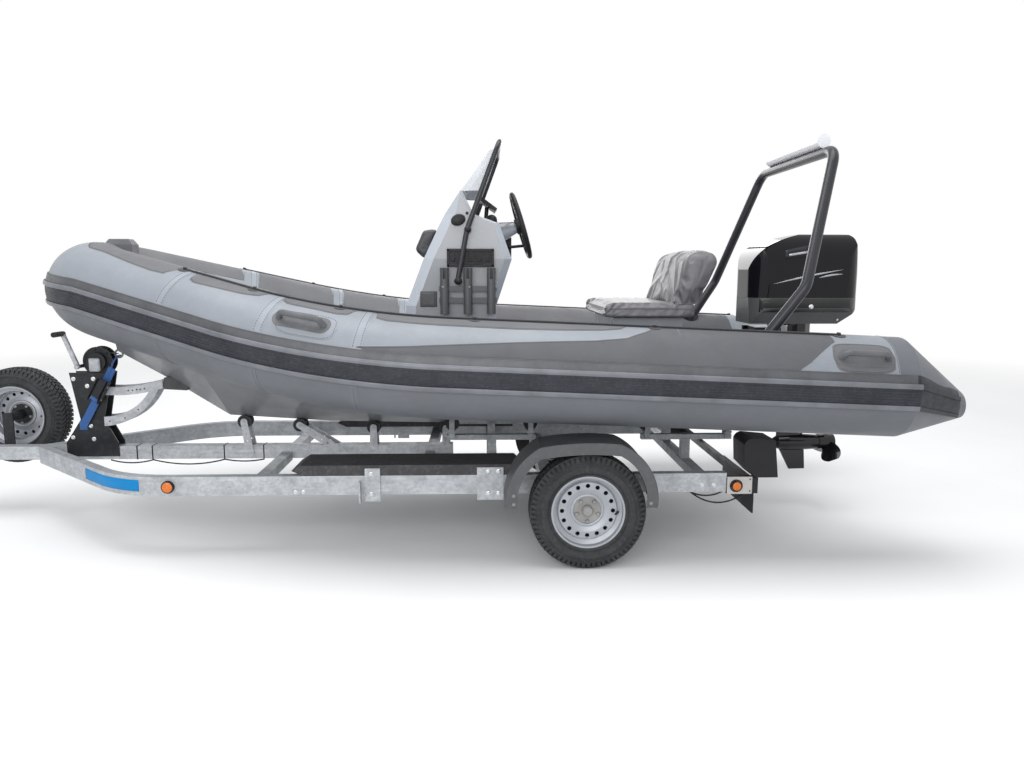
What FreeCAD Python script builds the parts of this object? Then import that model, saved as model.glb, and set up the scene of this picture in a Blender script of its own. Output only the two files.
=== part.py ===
import FreeCAD, Part
import math
import os
import re
import Sketcher

# An inflatable boat with a rigid hull, standing on its road trailer.
# Millimetres. X runs forward to the coupling, Y to port, Z up from the ground.
# The origin is on the ground, under the middle of the whole outfit.

V = FreeCAD.Vector
DOC = FreeCAD.newDocument("boat_on_trailer")
SHEET = DOC.addObject("Spreadsheet::Sheet", "sizes")

# Driving sizes: name, value, meaning
SIZES = (
    ("rail_base", 330, "ground to the underside of the side rails"),
    ("rail_height", 100, "side rail section, upright"),
    ("rail_width", 50, "side rail section, across"),
    ("rail_wall", 3.5, "wall of the side rail tube"),
    ("rail_outer", 750, "centre plane to the outer face of a side rail"),
    ("rail_rear", -1890, "rear end of the side rails"),
    ("rail_bend", 1000, "where the side rails begin to curve in"),
    ("rail_bend_radius", 600, "outer radius of that curve"),
    ("rail_turn", 42, "degrees that the rails turn in"),
    ("drawbar_width", 70, "drawbar section, across"),
    ("drawbar_height", 80, "drawbar section, upright"),
    ("drawbar_wall", 4, "wall of the drawbar tube"),
    ("drawbar_front", 2740, "front end of the drawbar"),
    ("drawbar_rear", -435, "rear end of the drawbar"),
    ("cross_depth", 60, "cross member section, lengthwise"),
    ("cross_height", 50, "cross member section, upright"),
    ("cross_front", 560, "middle of the front cross member"),
    ("cross_middle", -300, "middle of the second cross member"),
    ("cross_cradle", -671, "middle of the cross member under the front cradles"),
    ("cross_rear", -1800, "middle of the rear cross member"),
    ("cross_lift", 10, "cross members above the underside of the rails"),
    ("wheel_station", -1140, "lengthwise place of the road wheels"),
    ("wheel_track", 890, "centre plane to the middle of a tyre"),
    ("tyre_radius", 291.5, "tyre, outside"),
    ("tyre_width", 175, "tyre, across its walls"),
    ("tyre_wall", 12, "tyre carcass"),
    ("bead_radius", 178, "rim seat of the tyre bead"),
    ("flange_radius", 195, "outer edge of the rim flange"),
    ("rim_width", 140, "between the rim flanges"),
    ("rim_sheet", 4, "sheet of the rim"),
    ("disc_offset", 32, "wheel disc outboard of the rim's middle"),
    ("vent_count", 16, "round holes in the wheel disc"),
    ("vent_radius", 11, "each of those holes"),
    ("vent_circle", 127, "radius of the ring of holes"),
    ("drum_radius", 105, "brake drum"),
    ("stub_radius", 22, "stub axle"),
    ("swing_arm", 160, "axle beam ahead of the wheel centre"),
    ("axle_beam", 70, "square axle beam"),
    ("fender_front", 411, "mudguard's front foot ahead of the wheel centre"),
    ("fender_rear", 333, "mudguard's rear foot behind the wheel centre"),
    ("fender_top", 640, "top of the mudguard above the ground"),
    ("fender_foot", 35, "mudguard's feet above the wheel centre"),
    ("fender_skirt", 55, "depth of its outer skirt"),
    ("fender_sheet", 5, "moulding of the mudguard"),
    ("fender_outer", 1004, "centre plane to the outer face of the mudguard"),
    ("plank_rear", -818, "rear end of a walkway plank"),
    ("plank_front", 358, "front end of a walkway plank"),
    ("plank_width", 250, "walkway plank, across"),
    ("plank_thick", 55, "walkway plank, upright"),
    ("collar_radius", 252, "radius of the air tube"),
    ("collar_half_beam", 820, "centre plane to the axis of a straight tube"),
    ("collar_cone_start", -2700, "where the straight tube ends and its cone begins"),
    ("collar_cone_end", -3043, "blunt tip of the cone"),
    ("collar_tip_radius", 68, "blunt tip of the cone"),
    ("collar_tip_height", 800, "middle of the blunt tip above the ground"),
    ("collar_aft_height", 893, "tube axis above the ground where the cone begins"),
    ("collar_knee", 88, "corner of the tube axis where it turns in"),
    ("collar_knee_height", 1015, "tube axis at that corner"),
    ("collar_nose", 1590, "tube axis at the bow"),
    ("collar_nose_half", 185, "corner of the tube axis at the bow, from the centre plane"),
    ("collar_nose_height", 1378, "tube axis at the bow"),
    ("collar_knee_run", 560, "length from that corner to the start of its arc"),
    ("seam_gap", 0.3, "clearance where one curved face lies on another"),
    ("strake_thick", 9, "ribbed band of the rubbing strake"),
    ("ridge_proud", 16, "ridges of the rubbing strake"),
    ("strip_thick", 4, "smooth strip above the rubbing strake"),
    ("strake_cone_share", 0.84, "share of the stern cone that the strake covers"),
    ("strake_spread", 2.05, "widening of the strake's angles at the end of the cone"),
    ("patch_thick", 4, "patches welded to the tube"),
    ("handle_length", 300, "patch of a grab handle, along the tube"),
    ("handle_width", 92, "patch of a grab handle, across"),
    ("handle_height", 46, "middle of a handle's grip above the tube"),
    ("handle_grip", 15, "radius of a handle's grip"),
    ("handle_bend", 30, "bend of a handle's grip"),
    ("line_angle", 80, "degrees above level where the lifeline runs"),
    ("line_radius", 6, "lifeline rope"),
    ("line_patch", 34, "radius of a lifeline patch"),
    ("line_eye", 10, "radius of a lifeline eye"),
    ("cleat_length", 158, "bow cleat, lengthwise"),
    ("cleat_width", 90, "bow cleat, across"),
    ("cleat_height", 48, "bow cleat above the tube"),
    ("cleat_back", 118, "bow cleat behind the bow tube's axis"),
    ("keel_height", 555, "lowest point of the keel above the ground"),
    ("eye_station", 1532, "towing eye, lengthwise"),
    ("eye_drop", 14, "towing eye's centre below the keel line"),
    ("eye_radius", 22, "towing eye, ring"),
    ("eye_wire", 6, "towing eye, bar"),
    ("transom_face", -2290, "aft face of the transom"),
    ("transom_thick", 50, "transom board"),
    ("transom_rise", 203, "top of the transom above the deck"),
    ("transom_half", 400, "half width of the transom's top"),
    ("transom_foot", 590, "half width of the transom at the deck"),
    ("roller_radius", 40, "keel roller"),
    ("roller_waist", 31, "middle of a waisted keel roller"),
    ("roller_length", 66, "keel roller"),
    ("stand_arm", 50, "drilled arm of a keel roller"),
    ("stand_sheet", 6, "sheet of that arm"),
    ("roller_pin", 6, "radius of a roller's pin"),
    ("deadrise", 19.8, "degrees that the hull bottom rises from its keel"),
    ("cradle_half", 234, "centre plane to the middle of a side roller"),
    ("cradle_slack", 1, "side rollers below the hull"),
    ("post_foot_front", 1856, "winch post foot, front"),
    ("post_foot_rear", 1552, "winch post foot, rear"),
    ("post_top", 874, "top of the winch post"),
    ("post_top_front", 1810, "winch post top, front"),
    ("post_top_rear", 1568, "winch post top, rear"),
    ("post_waist", 593, "waist of the winch post above the ground"),
    ("post_waist_front", 1763, "winch post waist, front"),
    ("post_waist_rear", 1624, "winch post waist, rear"),
    ("winch_station", 1642, "winch drum, lengthwise"),
    ("winch_radius", 86, "winch cheeks"),
    ("winch_cheek", 6, "sheet of a winch cheek"),
    ("stop_bar", 8, "bars of the bow stop"),
    ("strap_station", 1742, "lower hook of the bow strap, lengthwise"),
    ("strap_height", 560, "lower hook of the bow strap above the ground"),
    ("strap_width", 45, "webbing of the bow strap"),
    ("strap_thick", 3, "webbing of the bow strap"),
    ("strap_standoff", 14, "webbing off the winch post's plate"),
    ("strap_hook", 5, "bar of the bow strap's hook"),
    ("marker_station", 981, "amber side lamp, lengthwise"),
    ("marker_radius", 32, "amber side lamp"),
    ("post_plate", 8, "plate of the winch post"),
    ("spare_station", 2235, "spare wheel centre, lengthwise"),
    ("spare_height", 590, "spare wheel centre above the ground"),
    ("spare_inboard", 78, "centre plane to the spare wheel's near face"),
    ("jockey_station", 2610, "jockey wheel tube, lengthwise"),
    ("jockey_tube_radius", 24, "jockey wheel tube"),
    ("jockey_wheel_radius", 100, "jockey wheel"),
    ("jockey_wheel_width", 60, "jockey wheel"),
    ("jockey_trail", 45, "jockey wheel axle behind its leg"),
    ("jockey_pin", 8, "jockey wheel axle"),
    ("jockey_standoff", 12, "jockey wheel tube off the drawbar"),
    ("fork_top", 232, "top of the jockey wheel's fork above the ground"),
    ("ball_socket_radius", 25.3, "socket of the coupling for a 50 mm ball"),
    ("coupling_front", 3043, "front end of the coupling head"),
    ("console_half", 330, "half width of the console"),
    ("console_wall", 8, "moulding of the console"),
    ("screen_sheet", 5, "windscreen"),
    ("screen_rail_radius", 14, "tube of the screen rail"),
    ("screen_rail_bend", 70, "bends of the screen rail"),
    ("rail_standoff", 18, "screen rail off the console's side"),
    ("holder_first", -413, "front rod holder, lengthwise"),
    ("holder_spacing", 128, "between rod holders"),
    ("holder_radius", 24, "rod holder tube"),
    ("holder_wall", 3.5, "wall of a rod holder"),
    ("holder_reach", 30, "rod holders off the console's side"),
    ("holder_top_rise", 625, "top of a rod holder above the deck"),
    ("holder_rise", 373, "bottom of a rod holder above the deck"),
    ("cushion_depth", 72, "console cushion"),
    ("deck_height", 862, "deck above the ground at the stern"),
    ("helm_radius", 185, "steering wheel rim"),
    ("helm_tube", 14, "steering wheel rim section radius"),
    ("helm_station", -845, "steering wheel centre, lengthwise"),
    ("helm_rise", 871, "steering wheel centre above the deck"),
    ("helm_rake", 17, "steering wheel column above level, degrees"),
    ("helm_hub_depth", 30, "steering wheel hub behind the rim's plane"),
    ("helm_reach", 126, "rim's plane off the dash, along the column"),
    ("bench_front", -1285, "front edge of the seat"),
    ("bench_back", -1790, "rear edge of the seat"),
    ("bench_half", 425, "half width of the seat"),
    ("bench_rise", 353, "underside of the seat cushion above the deck"),
    ("cushion_thick", 75, "seat cushion"),
    ("cushion_round", 24, "rounding of the seat cushion"),
    ("bench_inset", 60, "seat base inside the cushion's edge"),
    ("back_rise", 375, "top of the seat back above the seat base"),
    ("back_half", 418, "half width of the seat back"),
    ("back_round", 28, "rounding of the seat back"),
    ("arch_tube", 28, "radius of the arch tube"),
    ("arch_bend", 110, "bends of the arch"),
    ("arch_foot", -2060, "arch foot, lengthwise"),
    ("arch_foot_half", 735, "centre plane to an arch foot"),
    ("arch_foot_disc", 62, "round foot of the arch"),
    ("arch_knee", -2243, "knee of the arch, lengthwise"),
    ("arch_knee_half", 775, "centre plane to a knee of the arch"),
    ("arch_knee_height", 1396, "knee of the arch above the ground"),
    ("arch_top", -2459, "cross tube of the arch, lengthwise"),
    ("arch_top_half", 530, "centre plane to a top corner of the arch"),
    ("arch_height", 2100, "cross tube of the arch above the ground"),
    ("lamp_radius", 37, "tubular lamp on the arch"),
    ("lamp_half", 385, "half length of the tubular lamp"),
    ("motor_axis", -2500, "drive shaft of the outboard"),
    ("steer_axis", -2385, "steering axis of the outboard"),
    ("tilt_station", -2262, "tilt axis of the outboard, lengthwise"),
    ("tilt_rise", 47, "tilt axis of the outboard above the transom"),
    ("tilt_pin", 16, "tilt axis pin of the outboard"),
    ("clamp_half", 93, "centre plane to a clamp arm's inner face"),
    ("clamp_arm", 24, "clamp arm"),
    ("swivel_tube", 42, "steering tube of the swivel bracket"),
    ("steer_pin", 23.9, "steering pivot of the outboard"),
    ("cowl_front", -2180, "front of the cowl"),
    ("cowl_rear", -2824, "rear of the cowl"),
    ("cowl_half", 195, "half width of the cowl"),
    ("cowl_corner", 115, "rounding of the cowl in plan"),
    ("pan_rise", 100, "underside of the lower pan above the transom"),
    ("pan_depth", 153, "lower pan, up to its seam with the hood"),
    ("hood_depth", 372, "hood, above the seam"),
    ("plate_drop", 465, "anti-ventilation plate below the top of the transom"),
    ("torpedo_end", -2690, "aft end of the torpedo"),
    ("propeller_rear", -2787, "aft end of the propeller hub"),
    ("shaft_drop", 175, "propeller shaft below the anti-ventilation plate"),
    ("propeller_radius", 165, "propeller, blade tip"),
    ("propeller_hub", 48, "propeller hub"),
    ("dash_station", -668, "compass, lengthwise"),
    ("dash_rise", 883, "dash above the deck, under the compass"),
    ("display_station", -652, "chart display, lengthwise"),
    ("display_rise", 992, "chart display's centre above the deck"),
    ("display_offset", -40, "centre plane to the chart display"),
    ("display_neck", 96, "foot of the display's neck below the display's centre"),
    ("throttle_station", -737, "throttle box, lengthwise"),
    ("throttle_rise", 751, "throttle box above the deck"),
    ("throttle_offset", -215, "centre plane to the throttle box"),
)

# Heights above the ground that follow from the sizes
LEVELS = {
    "transom_top": "deck_height + transom_rise",
    "holder_top": "deck_height + holder_top_rise",
    "holder_bottom": "deck_height + holder_rise",
    "helm_height": "deck_height + helm_rise",
    "bench_height": "deck_height + bench_rise",
    "back_height": "bench_height + back_rise",
    "cowl_base": "transom_top + pan_rise",
    "cowl_seam": "cowl_base + pan_depth",
    "cowl_top": "cowl_seam + hood_depth",
    "plate_height": "transom_top - plate_drop",
    "shaft_height": "plate_height - shaft_drop",
}


def fill_sheet():
    """Writes each size as a plain number with its name as the alias."""
    for row, (name, value, meaning) in enumerate(SIZES, 1):
        SHEET.set("A%d" % row, name)
        SHEET.set("B%d" % row, str(value))
        SHEET.set("C%d" % row, meaning)
        SHEET.setAlias("B%d" % row, name)
    DOC.recompute()


NAMES = {name for name, value, meaning in SIZES}
WORD = re.compile(r"[A-Za-z_][A-Za-z_0-9]*")
PIECES = []


def bound(text):
    """Turns the sizes in a formula into references to the sheet, and the levels into their own formulas."""
    def refer(found):
        word = found.group()
        if word in LEVELS:
            return "(" + bound(LEVELS[word]) + ")"
        return "sizes." + word if word in NAMES else word
    return WORD.sub(refer, str(text))


def size(text):
    """The value of a formula of size names."""
    return float(SHEET.evalExpression(bound(text)))


def bind(thing, **formulas):
    """Binds properties of an object to formulas of size names."""
    for name, text in formulas.items():
        thing.setExpression(name.replace("__", "."), bound(text))
    return thing


def place_at(x, y, z):
    """An upright placement at three formulas."""
    return FreeCAD.Placement(V(size(x), size(y), size(z)), FreeCAD.Rotation())


def place(thing, x=0, y=0, z=0, turn=None):
    """Places an object at three formulas, with an optional fixed rotation (axis, degrees)."""
    if turn:
        thing.Placement = FreeCAD.Placement(V(), FreeCAD.Rotation(V(*turn[0]), turn[1]))
    return bind(thing, Placement__Base__x=x, Placement__Base__y=y, Placement__Base__z=z)


def box(name, x, y, z, length, width, height):
    """A box from its lowest corner."""
    thing = DOC.addObject("Part::Box", name)
    bind(thing, Length=length, Width=width, Height=height)
    return place(thing, x, y, z)


AXIS_TURN = {"x": ((0, 1, 0), 90), "y": ((1, 0, 0), -90), "z": None}


def rod(name, axis, x, y, z, radius, length):
    """A cylinder that starts at a point and runs along an axis."""
    thing = DOC.addObject("Part::Cylinder", name)
    bind(thing, Radius=radius, Height=length)
    return place(thing, x, y, z, AXIS_TURN[axis])


def fuse(name, *parts):
    thing = DOC.addObject("Part::MultiFuse", name)
    thing.Shapes = list(parts)
    return thing


def cut(name, base, *tools):
    thing = DOC.addObject("Part::Cut", name)
    thing.Base = base
    thing.Tool = tools[0] if len(tools) == 1 else fuse(name + "_tools", *tools)
    return thing


def group(name, *parts):
    """Like pieces that don't touch, kept as one object."""
    thing = DOC.addObject("Part::Compound", name)
    thing.Links = list(parts)
    return thing


def mirrored(name, source):
    """The same piece on the starboard side."""
    thing = DOC.addObject("Part::Mirroring", name)
    thing.Source = source
    thing.Normal = V(0, 1, 0)
    return thing


def solid(name, shape):
    """A shape made with Part's own functions."""
    thing = DOC.addObject("Part::Feature", name)
    thing.Shape = shape
    return thing


def piece(label, thing):
    """Names an object as one of the product's pieces."""
    thing.Label = label
    PIECES.append(thing)
    return thing


def arc_middle(start, end, radius, side):
    """A point halfway along the short arc from start to end. Side 1 bulges to the left."""
    chord = end - start
    half = chord.Length / 2
    rise = radius - math.sqrt(max(radius * radius - half * half, 0))
    normal = V(-chord.y, chord.x, 0).normalize()
    return (start + end) * 0.5 + normal * (rise * side)


def turn_arc(start, corner, end):
    """The arc that leaves start and reaches end, tangent to both runs at their corner."""
    into, out = (corner - start).normalize(), (end - corner).normalize()
    half = into.getAngle(out) / 2
    to_middle = (out - into).normalize()
    radius = (corner - start).Length / math.tan(half)
    centre = corner + to_middle * (radius / math.cos(half))
    middle = centre - to_middle * radius
    return Part.Arc(start, middle, end).toShape()


def bent_path(corners, radius):
    """Runs through the corners of a path, with a tangent arc of one radius at each."""
    edges, last = [], corners[0]
    for before, corner, after in zip(corners[:-2], corners[1:-1], corners[2:]):
        into, out = (corner - before).normalize(), (after - corner).normalize()
        reach = radius * math.tan(into.getAngle(out) / 2)
        start, end = corner - into * reach, corner + out * reach
        edges += [Part.makeLine(last, start), turn_arc(start, corner, end)]
        last = end
    return edges + [Part.makeLine(last, corners[-1])]


def swept(face, edges):
    """A flat face carried along tangent runs and arcs, as one solid."""
    parts = []
    face = face.copy()
    for edge in edges:
        if edge.Curve.TypeId == "Part::GeomLine":
            run = edge.tangentAt(edge.FirstParameter) * edge.Length
            parts.append(face.extrude(run))
            face.translate(run)
        else:
            curve = edge.Curve
            turn = math.degrees(edge.LastParameter - edge.FirstParameter)
            parts.append(face.revolve(curve.Center, curve.Axis, turn))
            face.rotate(curve.Center, curve.Axis, turn)
    return parts[0].multiFuse(parts[1:]) if len(parts) > 1 else parts[0]


def tube_along(edges, radius, offset=V()):
    """A round tube along tangent runs and arcs, set off from the path's start."""
    start = edges[0].valueAt(edges[0].FirstParameter)
    along = edges[0].tangentAt(edges[0].FirstParameter)
    return swept(Part.Face(Part.Wire(Part.makeCircle(radius, start + offset, along))), edges)


def bent_tube(corners, bend, radius):
    """A round tube with equal bends."""
    return tube_along(bent_path(corners, bend), radius)


def set_at(shape, origin, along, up):
    """Moves a shape from its own frame, X along and Z up, to a place in the model."""
    side = up.cross(along)
    shape.Placement = FreeCAD.Placement(origin, FreeCAD.Rotation(along, side, up, "XZY"))
    return shape


def sketch(body, name, plane, outlines, offset=None):
    """A sketch of closed outlines. A corner is (u, v), or (u, v, radius, side) where an arc leaves it."""
    thing = body.newObject("Sketcher::SketchObject", name)
    origin_plane = [f for f in body.Origin.OriginFeatures if f.Role == plane][0]
    thing.AttachmentSupport = [(origin_plane, "")]
    thing.MapMode = "FlatFace"
    if offset is not None:
        bind(thing, AttachmentOffset__Base__z=offset)
    for corners in outlines:
        spots = [V(size(c[0]), size(c[1]), 0) for c in corners]
        edges = []
        for k, corner in enumerate(corners):
            start, end = spots[k], spots[(k + 1) % len(corners)]
            if len(corner) == 4:
                middle = arc_middle(start, end, size(corner[2]), corner[3])
                line = Part.Arc(start, middle, end)
                index = thing.addGeometry(line)
                edges.append((index, 2, 1) if corner[3] > 0 else (index, 1, 2))
            else:
                index = thing.addGeometry(Part.LineSegment(start, end))
                edges.append((index, 1, 2))
        for k, edge in enumerate(edges):
            after = edges[(k + 1) % len(edges)]
            thing.addConstraint(Sketcher.Constraint("Coincident", edge[0], edge[2], after[0], after[1]))
        for k, corner in enumerate(corners):
            index, first = edges[k][0], edges[k][1]
            for kind, value, text in (("DistanceX", spots[k].x, corner[0]),
                                      ("DistanceY", spots[k].y, corner[1])):
                number = thing.addConstraint(Sketcher.Constraint(kind, -1, 1, index, first, value))
                thing.setExpression("Constraints[%d]" % number, bound(text))
            if len(corner) == 4:
                number = thing.addConstraint(Sketcher.Constraint("Radius", index, size(corner[2])))
                thing.setExpression("Constraints[%d]" % number, bound(corner[2]))
    return thing


def circles_sketch(body, name, plane, circles, offset=None):
    """A sketch of circles, each (u, v, radius)."""
    thing = body.newObject("Sketcher::SketchObject", name)
    thing.AttachmentSupport = [([f for f in body.Origin.OriginFeatures if f.Role == plane][0], "")]
    thing.MapMode = "FlatFace"
    if offset is not None:
        bind(thing, AttachmentOffset__Base__z=offset)
    for u, v, radius in circles:
        index = thing.addGeometry(Part.Circle(V(size(u), size(v), 0), V(0, 0, 1), size(radius)))
        for kind, text in (("DistanceX", u), ("DistanceY", v)):
            number = thing.addConstraint(Sketcher.Constraint(kind, -1, 1, index, 3, size(text)))
            thing.setExpression("Constraints[%d]" % number, bound(text))
        number = thing.addConstraint(Sketcher.Constraint("Radius", index, size(radius)))
        thing.setExpression("Constraints[%d]" % number, bound(radius))
    return thing


def new_body(name):
    return DOC.addObject("PartDesign::Body", name)


def pad(body, name, profile, length, both_ways=True, reverse=False):
    """Extrudes a sketch, half to each side of its plane unless told otherwise."""
    thing = body.newObject("PartDesign::Pad", name)
    thing.Profile = profile
    thing.Midplane = both_ways
    thing.Reversed = reverse
    bind(thing, Length=length)
    body.Tip = thing
    return thing


def pocket(body, name, profile, length, both_ways=True, reverse=False):
    """Cuts a sketch, half to each side of its plane unless told otherwise, and checks that it cuts."""
    before = body.Tip
    DOC.recompute()
    volume = before.Shape.Volume
    thing = body.newObject("PartDesign::Pocket", name)
    thing.Profile = profile
    thing.Midplane = both_ways
    thing.Reversed = reverse
    bind(thing, Length=length)
    body.Tip = thing
    DOC.recompute()
    if thing.Shape.Volume >= volume:
        raise ValueError(name + " cuts nothing")
    return thing


def revolve(body, name, profile, axis):
    """Turns a sketch about one of its own axes, H_Axis or V_Axis."""
    thing = body.newObject("PartDesign::Revolution", name)
    thing.Profile = profile
    thing.ReferenceAxis = (profile, [axis])
    thing.Angle = 360
    body.Tip = thing
    return thing


def plate(name, plane, outlines, thickness, offset=None):
    """A body of one padded outline."""
    body = new_body(name)
    pad(body, name + "_pad", sketch(body, name + "_outline", plane, outlines, offset), thickness)
    return body


def round_edges(body, name, radius, wanted=None, kind="Fillet"):
    """Rounds or chamfers the edges of a body that pass a test of their middle and direction."""
    DOC.recompute()
    base = body.Tip
    names = []
    for number, edge in enumerate(base.Shape.Edges, 1):
        halfway = (edge.FirstParameter + edge.LastParameter) / 2
        if wanted is None or wanted(edge.valueAt(halfway), edge.tangentAt(halfway)):
            names.append("Edge%d" % number)
    thing = body.newObject("PartDesign::" + kind, name)
    thing.Base = (base, names)
    bind(thing, **{"Radius" if kind == "Fillet" else "Size": radius})
    body.Tip = thing
    return thing


def common(name, *parts):
    thing = DOC.addObject("Part::MultiCommon", name)
    thing.Shapes = list(parts)
    return thing


fill_sheet()


# Trailer frame

def rail_outline(outer, inner, root):
    """Plan of a side rail between two offsets from its outer face, ending at a distance from the centre."""
    middle = "(rail_outer - rail_bend_radius)"
    corners = [("rail_rear", "rail_outer - (%s)" % outer)]

    def arc_end(offset):
        radius = "(rail_bend_radius - (%s))" % offset
        return (radius, "(rail_bend + %s * sin(rail_turn))" % radius,
                "(%s + %s * cos(rail_turn))" % (middle, radius))

    radius, x_end, y_end = arc_end(outer)
    corners.append(("rail_bend", "rail_outer - (%s)" % outer, radius, 1))
    corners.append((x_end, y_end))
    corners.append(("%s + (%s - (%s)) / tan(rail_turn)" % (x_end, y_end, root), root))
    radius, x_end, y_end = arc_end(inner)
    corners.append(("%s + (%s - (%s)) / tan(rail_turn)" % (x_end, y_end, root), root))
    corners.append((x_end, y_end, radius, -1))
    corners.append(("rail_bend", "rail_outer - (%s)" % inner))
    corners.append(("rail_rear", "rail_outer - (%s)" % inner))
    return corners


def side_rail():
    body = new_body("side_rail")
    outer = sketch(body, "rail_plan", "XY_Plane", [rail_outline("0", "rail_width", "drawbar_width / 2")])
    pad(body, "rail_pad", outer, "rail_height")
    hollow = sketch(body, "rail_hollow", "XY_Plane",
                    [rail_outline("rail_wall", "rail_width - rail_wall",
                                  "drawbar_width / 2 + 2 * rail_wall")])
    pocket(body, "rail_bore", hollow, "rail_height - 2 * rail_wall")
    return place(body, z="rail_base + rail_height / 2")


PORT_RAIL = piece("side_rail_port", side_rail())
piece("side_rail_starboard", mirrored("rail_mirror", PORT_RAIL))

DRAWBAR_BASE = "(rail_base + rail_height - drawbar_height)"
piece("drawbar", cut(
    "drawbar",
    box("drawbar_outside", "drawbar_rear", "-drawbar_width / 2", DRAWBAR_BASE,
        "drawbar_front - drawbar_rear", "drawbar_width", "drawbar_height"),
    box("drawbar_inside", "drawbar_rear - 1", "-drawbar_width / 2 + drawbar_wall",
        DRAWBAR_BASE + " + drawbar_wall",
        "drawbar_front - drawbar_rear + 2", "drawbar_width - 2 * drawbar_wall",
        "drawbar_height - 2 * drawbar_wall")))


def cross_members():
    """Two members butt on the drawbar and the rear one runs right across."""
    parts = []
    level = "rail_base + cross_lift"
    for name in ("cross_front", "cross_middle"):
        half = box(name + "_half", name + " - cross_depth / 2", "drawbar_width / 2", level,
                   "cross_depth", "rail_outer - rail_width - drawbar_width / 2", "cross_height")
        parts += [half, mirrored(name + "_mirror", half)]
    for name in ("cross_cradle", "cross_rear"):
        parts.append(box(name + "_whole", name + " - cross_depth / 2", "-(rail_outer - rail_width)", level,
                         "cross_depth", "2 * (rail_outer - rail_width)", "cross_height"))
    return group("cross_members", *parts)


piece("cross_members", cross_members())


def axle():
    """A square beam under the rails, with a trailing arm and a stub axle at each end."""
    beam_x = "(wheel_station + swing_arm)"
    beam = box("axle_beam_bar", beam_x + " - axle_beam / 2", "-(rail_outer + 4)", "rail_base - axle_beam",
               "axle_beam", "2 * (rail_outer + 4)", "axle_beam")
    arm = box("axle_arm", "wheel_station - 32", "rail_outer + 4", "tyre_radius - 30",
              "swing_arm + 60", "18", "60")
    stub = rod("axle_stub", "y", "wheel_station", "rail_outer + 22", "tyre_radius", "stub_radius",
               "wheel_track - 62 - rail_outer - 22")
    arms = fuse("axle_side", arm, stub)
    return fuse("axle", beam, arms, mirrored("axle_mirror", arms))


piece("axle", axle())


# Wheels

def tyre_body(name):
    """The tyre's section, turned about the wheel's own axis. The wheel lies along Y."""
    half = "tyre_width / 2"
    outer = [
        ("bead_radius + seam_gap", "-rim_width / 2 + rim_sheet + seam_gap"),
        ("flange_radius + 2", "-rim_width / 2 + rim_sheet + seam_gap"),
        ("flange_radius + 9", "-rim_width / 2 - 8"),
        ("(flange_radius + tyre_radius) / 2", "-" + half),
        ("tyre_radius - 22", "-tyre_width / 2 + 8"),
        ("tyre_radius - 5", "-tyre_width / 2 + 24"),
        ("tyre_radius", "-tyre_width / 2 + 45"),
        ("tyre_radius", "tyre_width / 2 - 45"),
        ("tyre_radius - 5", "tyre_width / 2 - 24"),
        ("tyre_radius - 22", "tyre_width / 2 - 8"),
        ("(flange_radius + tyre_radius) / 2", half),
        ("flange_radius + 9", "rim_width / 2 + 8"),
        ("flange_radius + 2", "rim_width / 2 - rim_sheet - seam_gap"),
        ("bead_radius + seam_gap", "rim_width / 2 - rim_sheet - seam_gap"),
        ("bead_radius + seam_gap", "rim_width / 2 - 20"),
        ("(flange_radius + tyre_radius) / 2", "tyre_width / 2 - tyre_wall"),
        ("tyre_radius - 22", "tyre_width / 2 - 22"),
        ("tyre_radius - tyre_wall", "tyre_width / 2 - 50"),
        ("tyre_radius - tyre_wall", "-tyre_width / 2 + 50"),
        ("tyre_radius - 22", "-tyre_width / 2 + 22"),
        ("(flange_radius + tyre_radius) / 2", "-tyre_width / 2 + tyre_wall"),
        ("bead_radius + seam_gap", "-rim_width / 2 + 20"),
    ]
    body = new_body(name)
    profile = sketch(body, name + "_section", "XY_Plane", [outer])
    revolve(body, name + "_turned", profile, "V_Axis")
    return body


def rim_body(name):
    """A pressed steel rim with a drop well, and a dished disc with a ring of round holes."""
    seat, half = "bead_radius", "rim_width / 2"
    section = [
        ("flange_radius", "-%s - 2" % half),
        ("flange_radius", "-%s - 2 + rim_sheet" % half),
        (seat, "-%s + rim_sheet" % half),
        (seat, "-%s + 22" % half),
        ("bead_radius - 22", "-%s + 34" % half),
        ("bead_radius - 22", "disc_offset - 12"),
        (seat, "disc_offset + 2"),
        (seat, "%s - rim_sheet" % half),
        ("flange_radius", "%s + 2 - rim_sheet" % half),
        ("flange_radius", "%s + 2" % half),
        ("bead_radius - rim_sheet", "%s" % half),
        ("bead_radius - rim_sheet", "disc_offset + 6"),
        ("bead_radius - 26", "disc_offset - 4"),
        ("vent_circle + 18", "disc_offset + 4 + rim_sheet"),
        ("vent_circle - 18", "disc_offset + 4 + rim_sheet"),
        ("76", "disc_offset - 8 + rim_sheet"),
        ("30", "disc_offset - 8 + rim_sheet"),
        ("30", "disc_offset - 8"),
        ("76", "disc_offset - 8"),
        ("vent_circle - 18", "disc_offset + 4"),
        ("vent_circle + 18", "disc_offset + 4"),
        ("bead_radius - 30", "disc_offset - 12"),
        ("bead_radius - 26", "disc_offset - 14"),
        ("bead_radius - 26", "-%s + 32" % half),
        ("bead_radius - rim_sheet", "-%s + 20" % half),
        ("bead_radius - rim_sheet", "-%s" % half),
    ]
    body = new_body(name)
    profile = sketch(body, name + "_section", "XY_Plane", [section])
    revolve(body, name + "_turned", profile, "V_Axis")
    hole = circles_sketch(body, name + "_vent", "XZ_Plane", [("vent_circle", "0", "vent_radius")])
    vent = pocket(body, name + "_vents", hole, "2 * rim_width")
    ring = body.newObject("PartDesign::PolarPattern", name + "_ring")
    ring.Originals = [vent]
    ring.Axis = (profile, ["V_Axis"])
    ring.Angle = 360
    bind(ring, Occurrences="vent_count")
    body.Tip = ring
    return body


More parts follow.
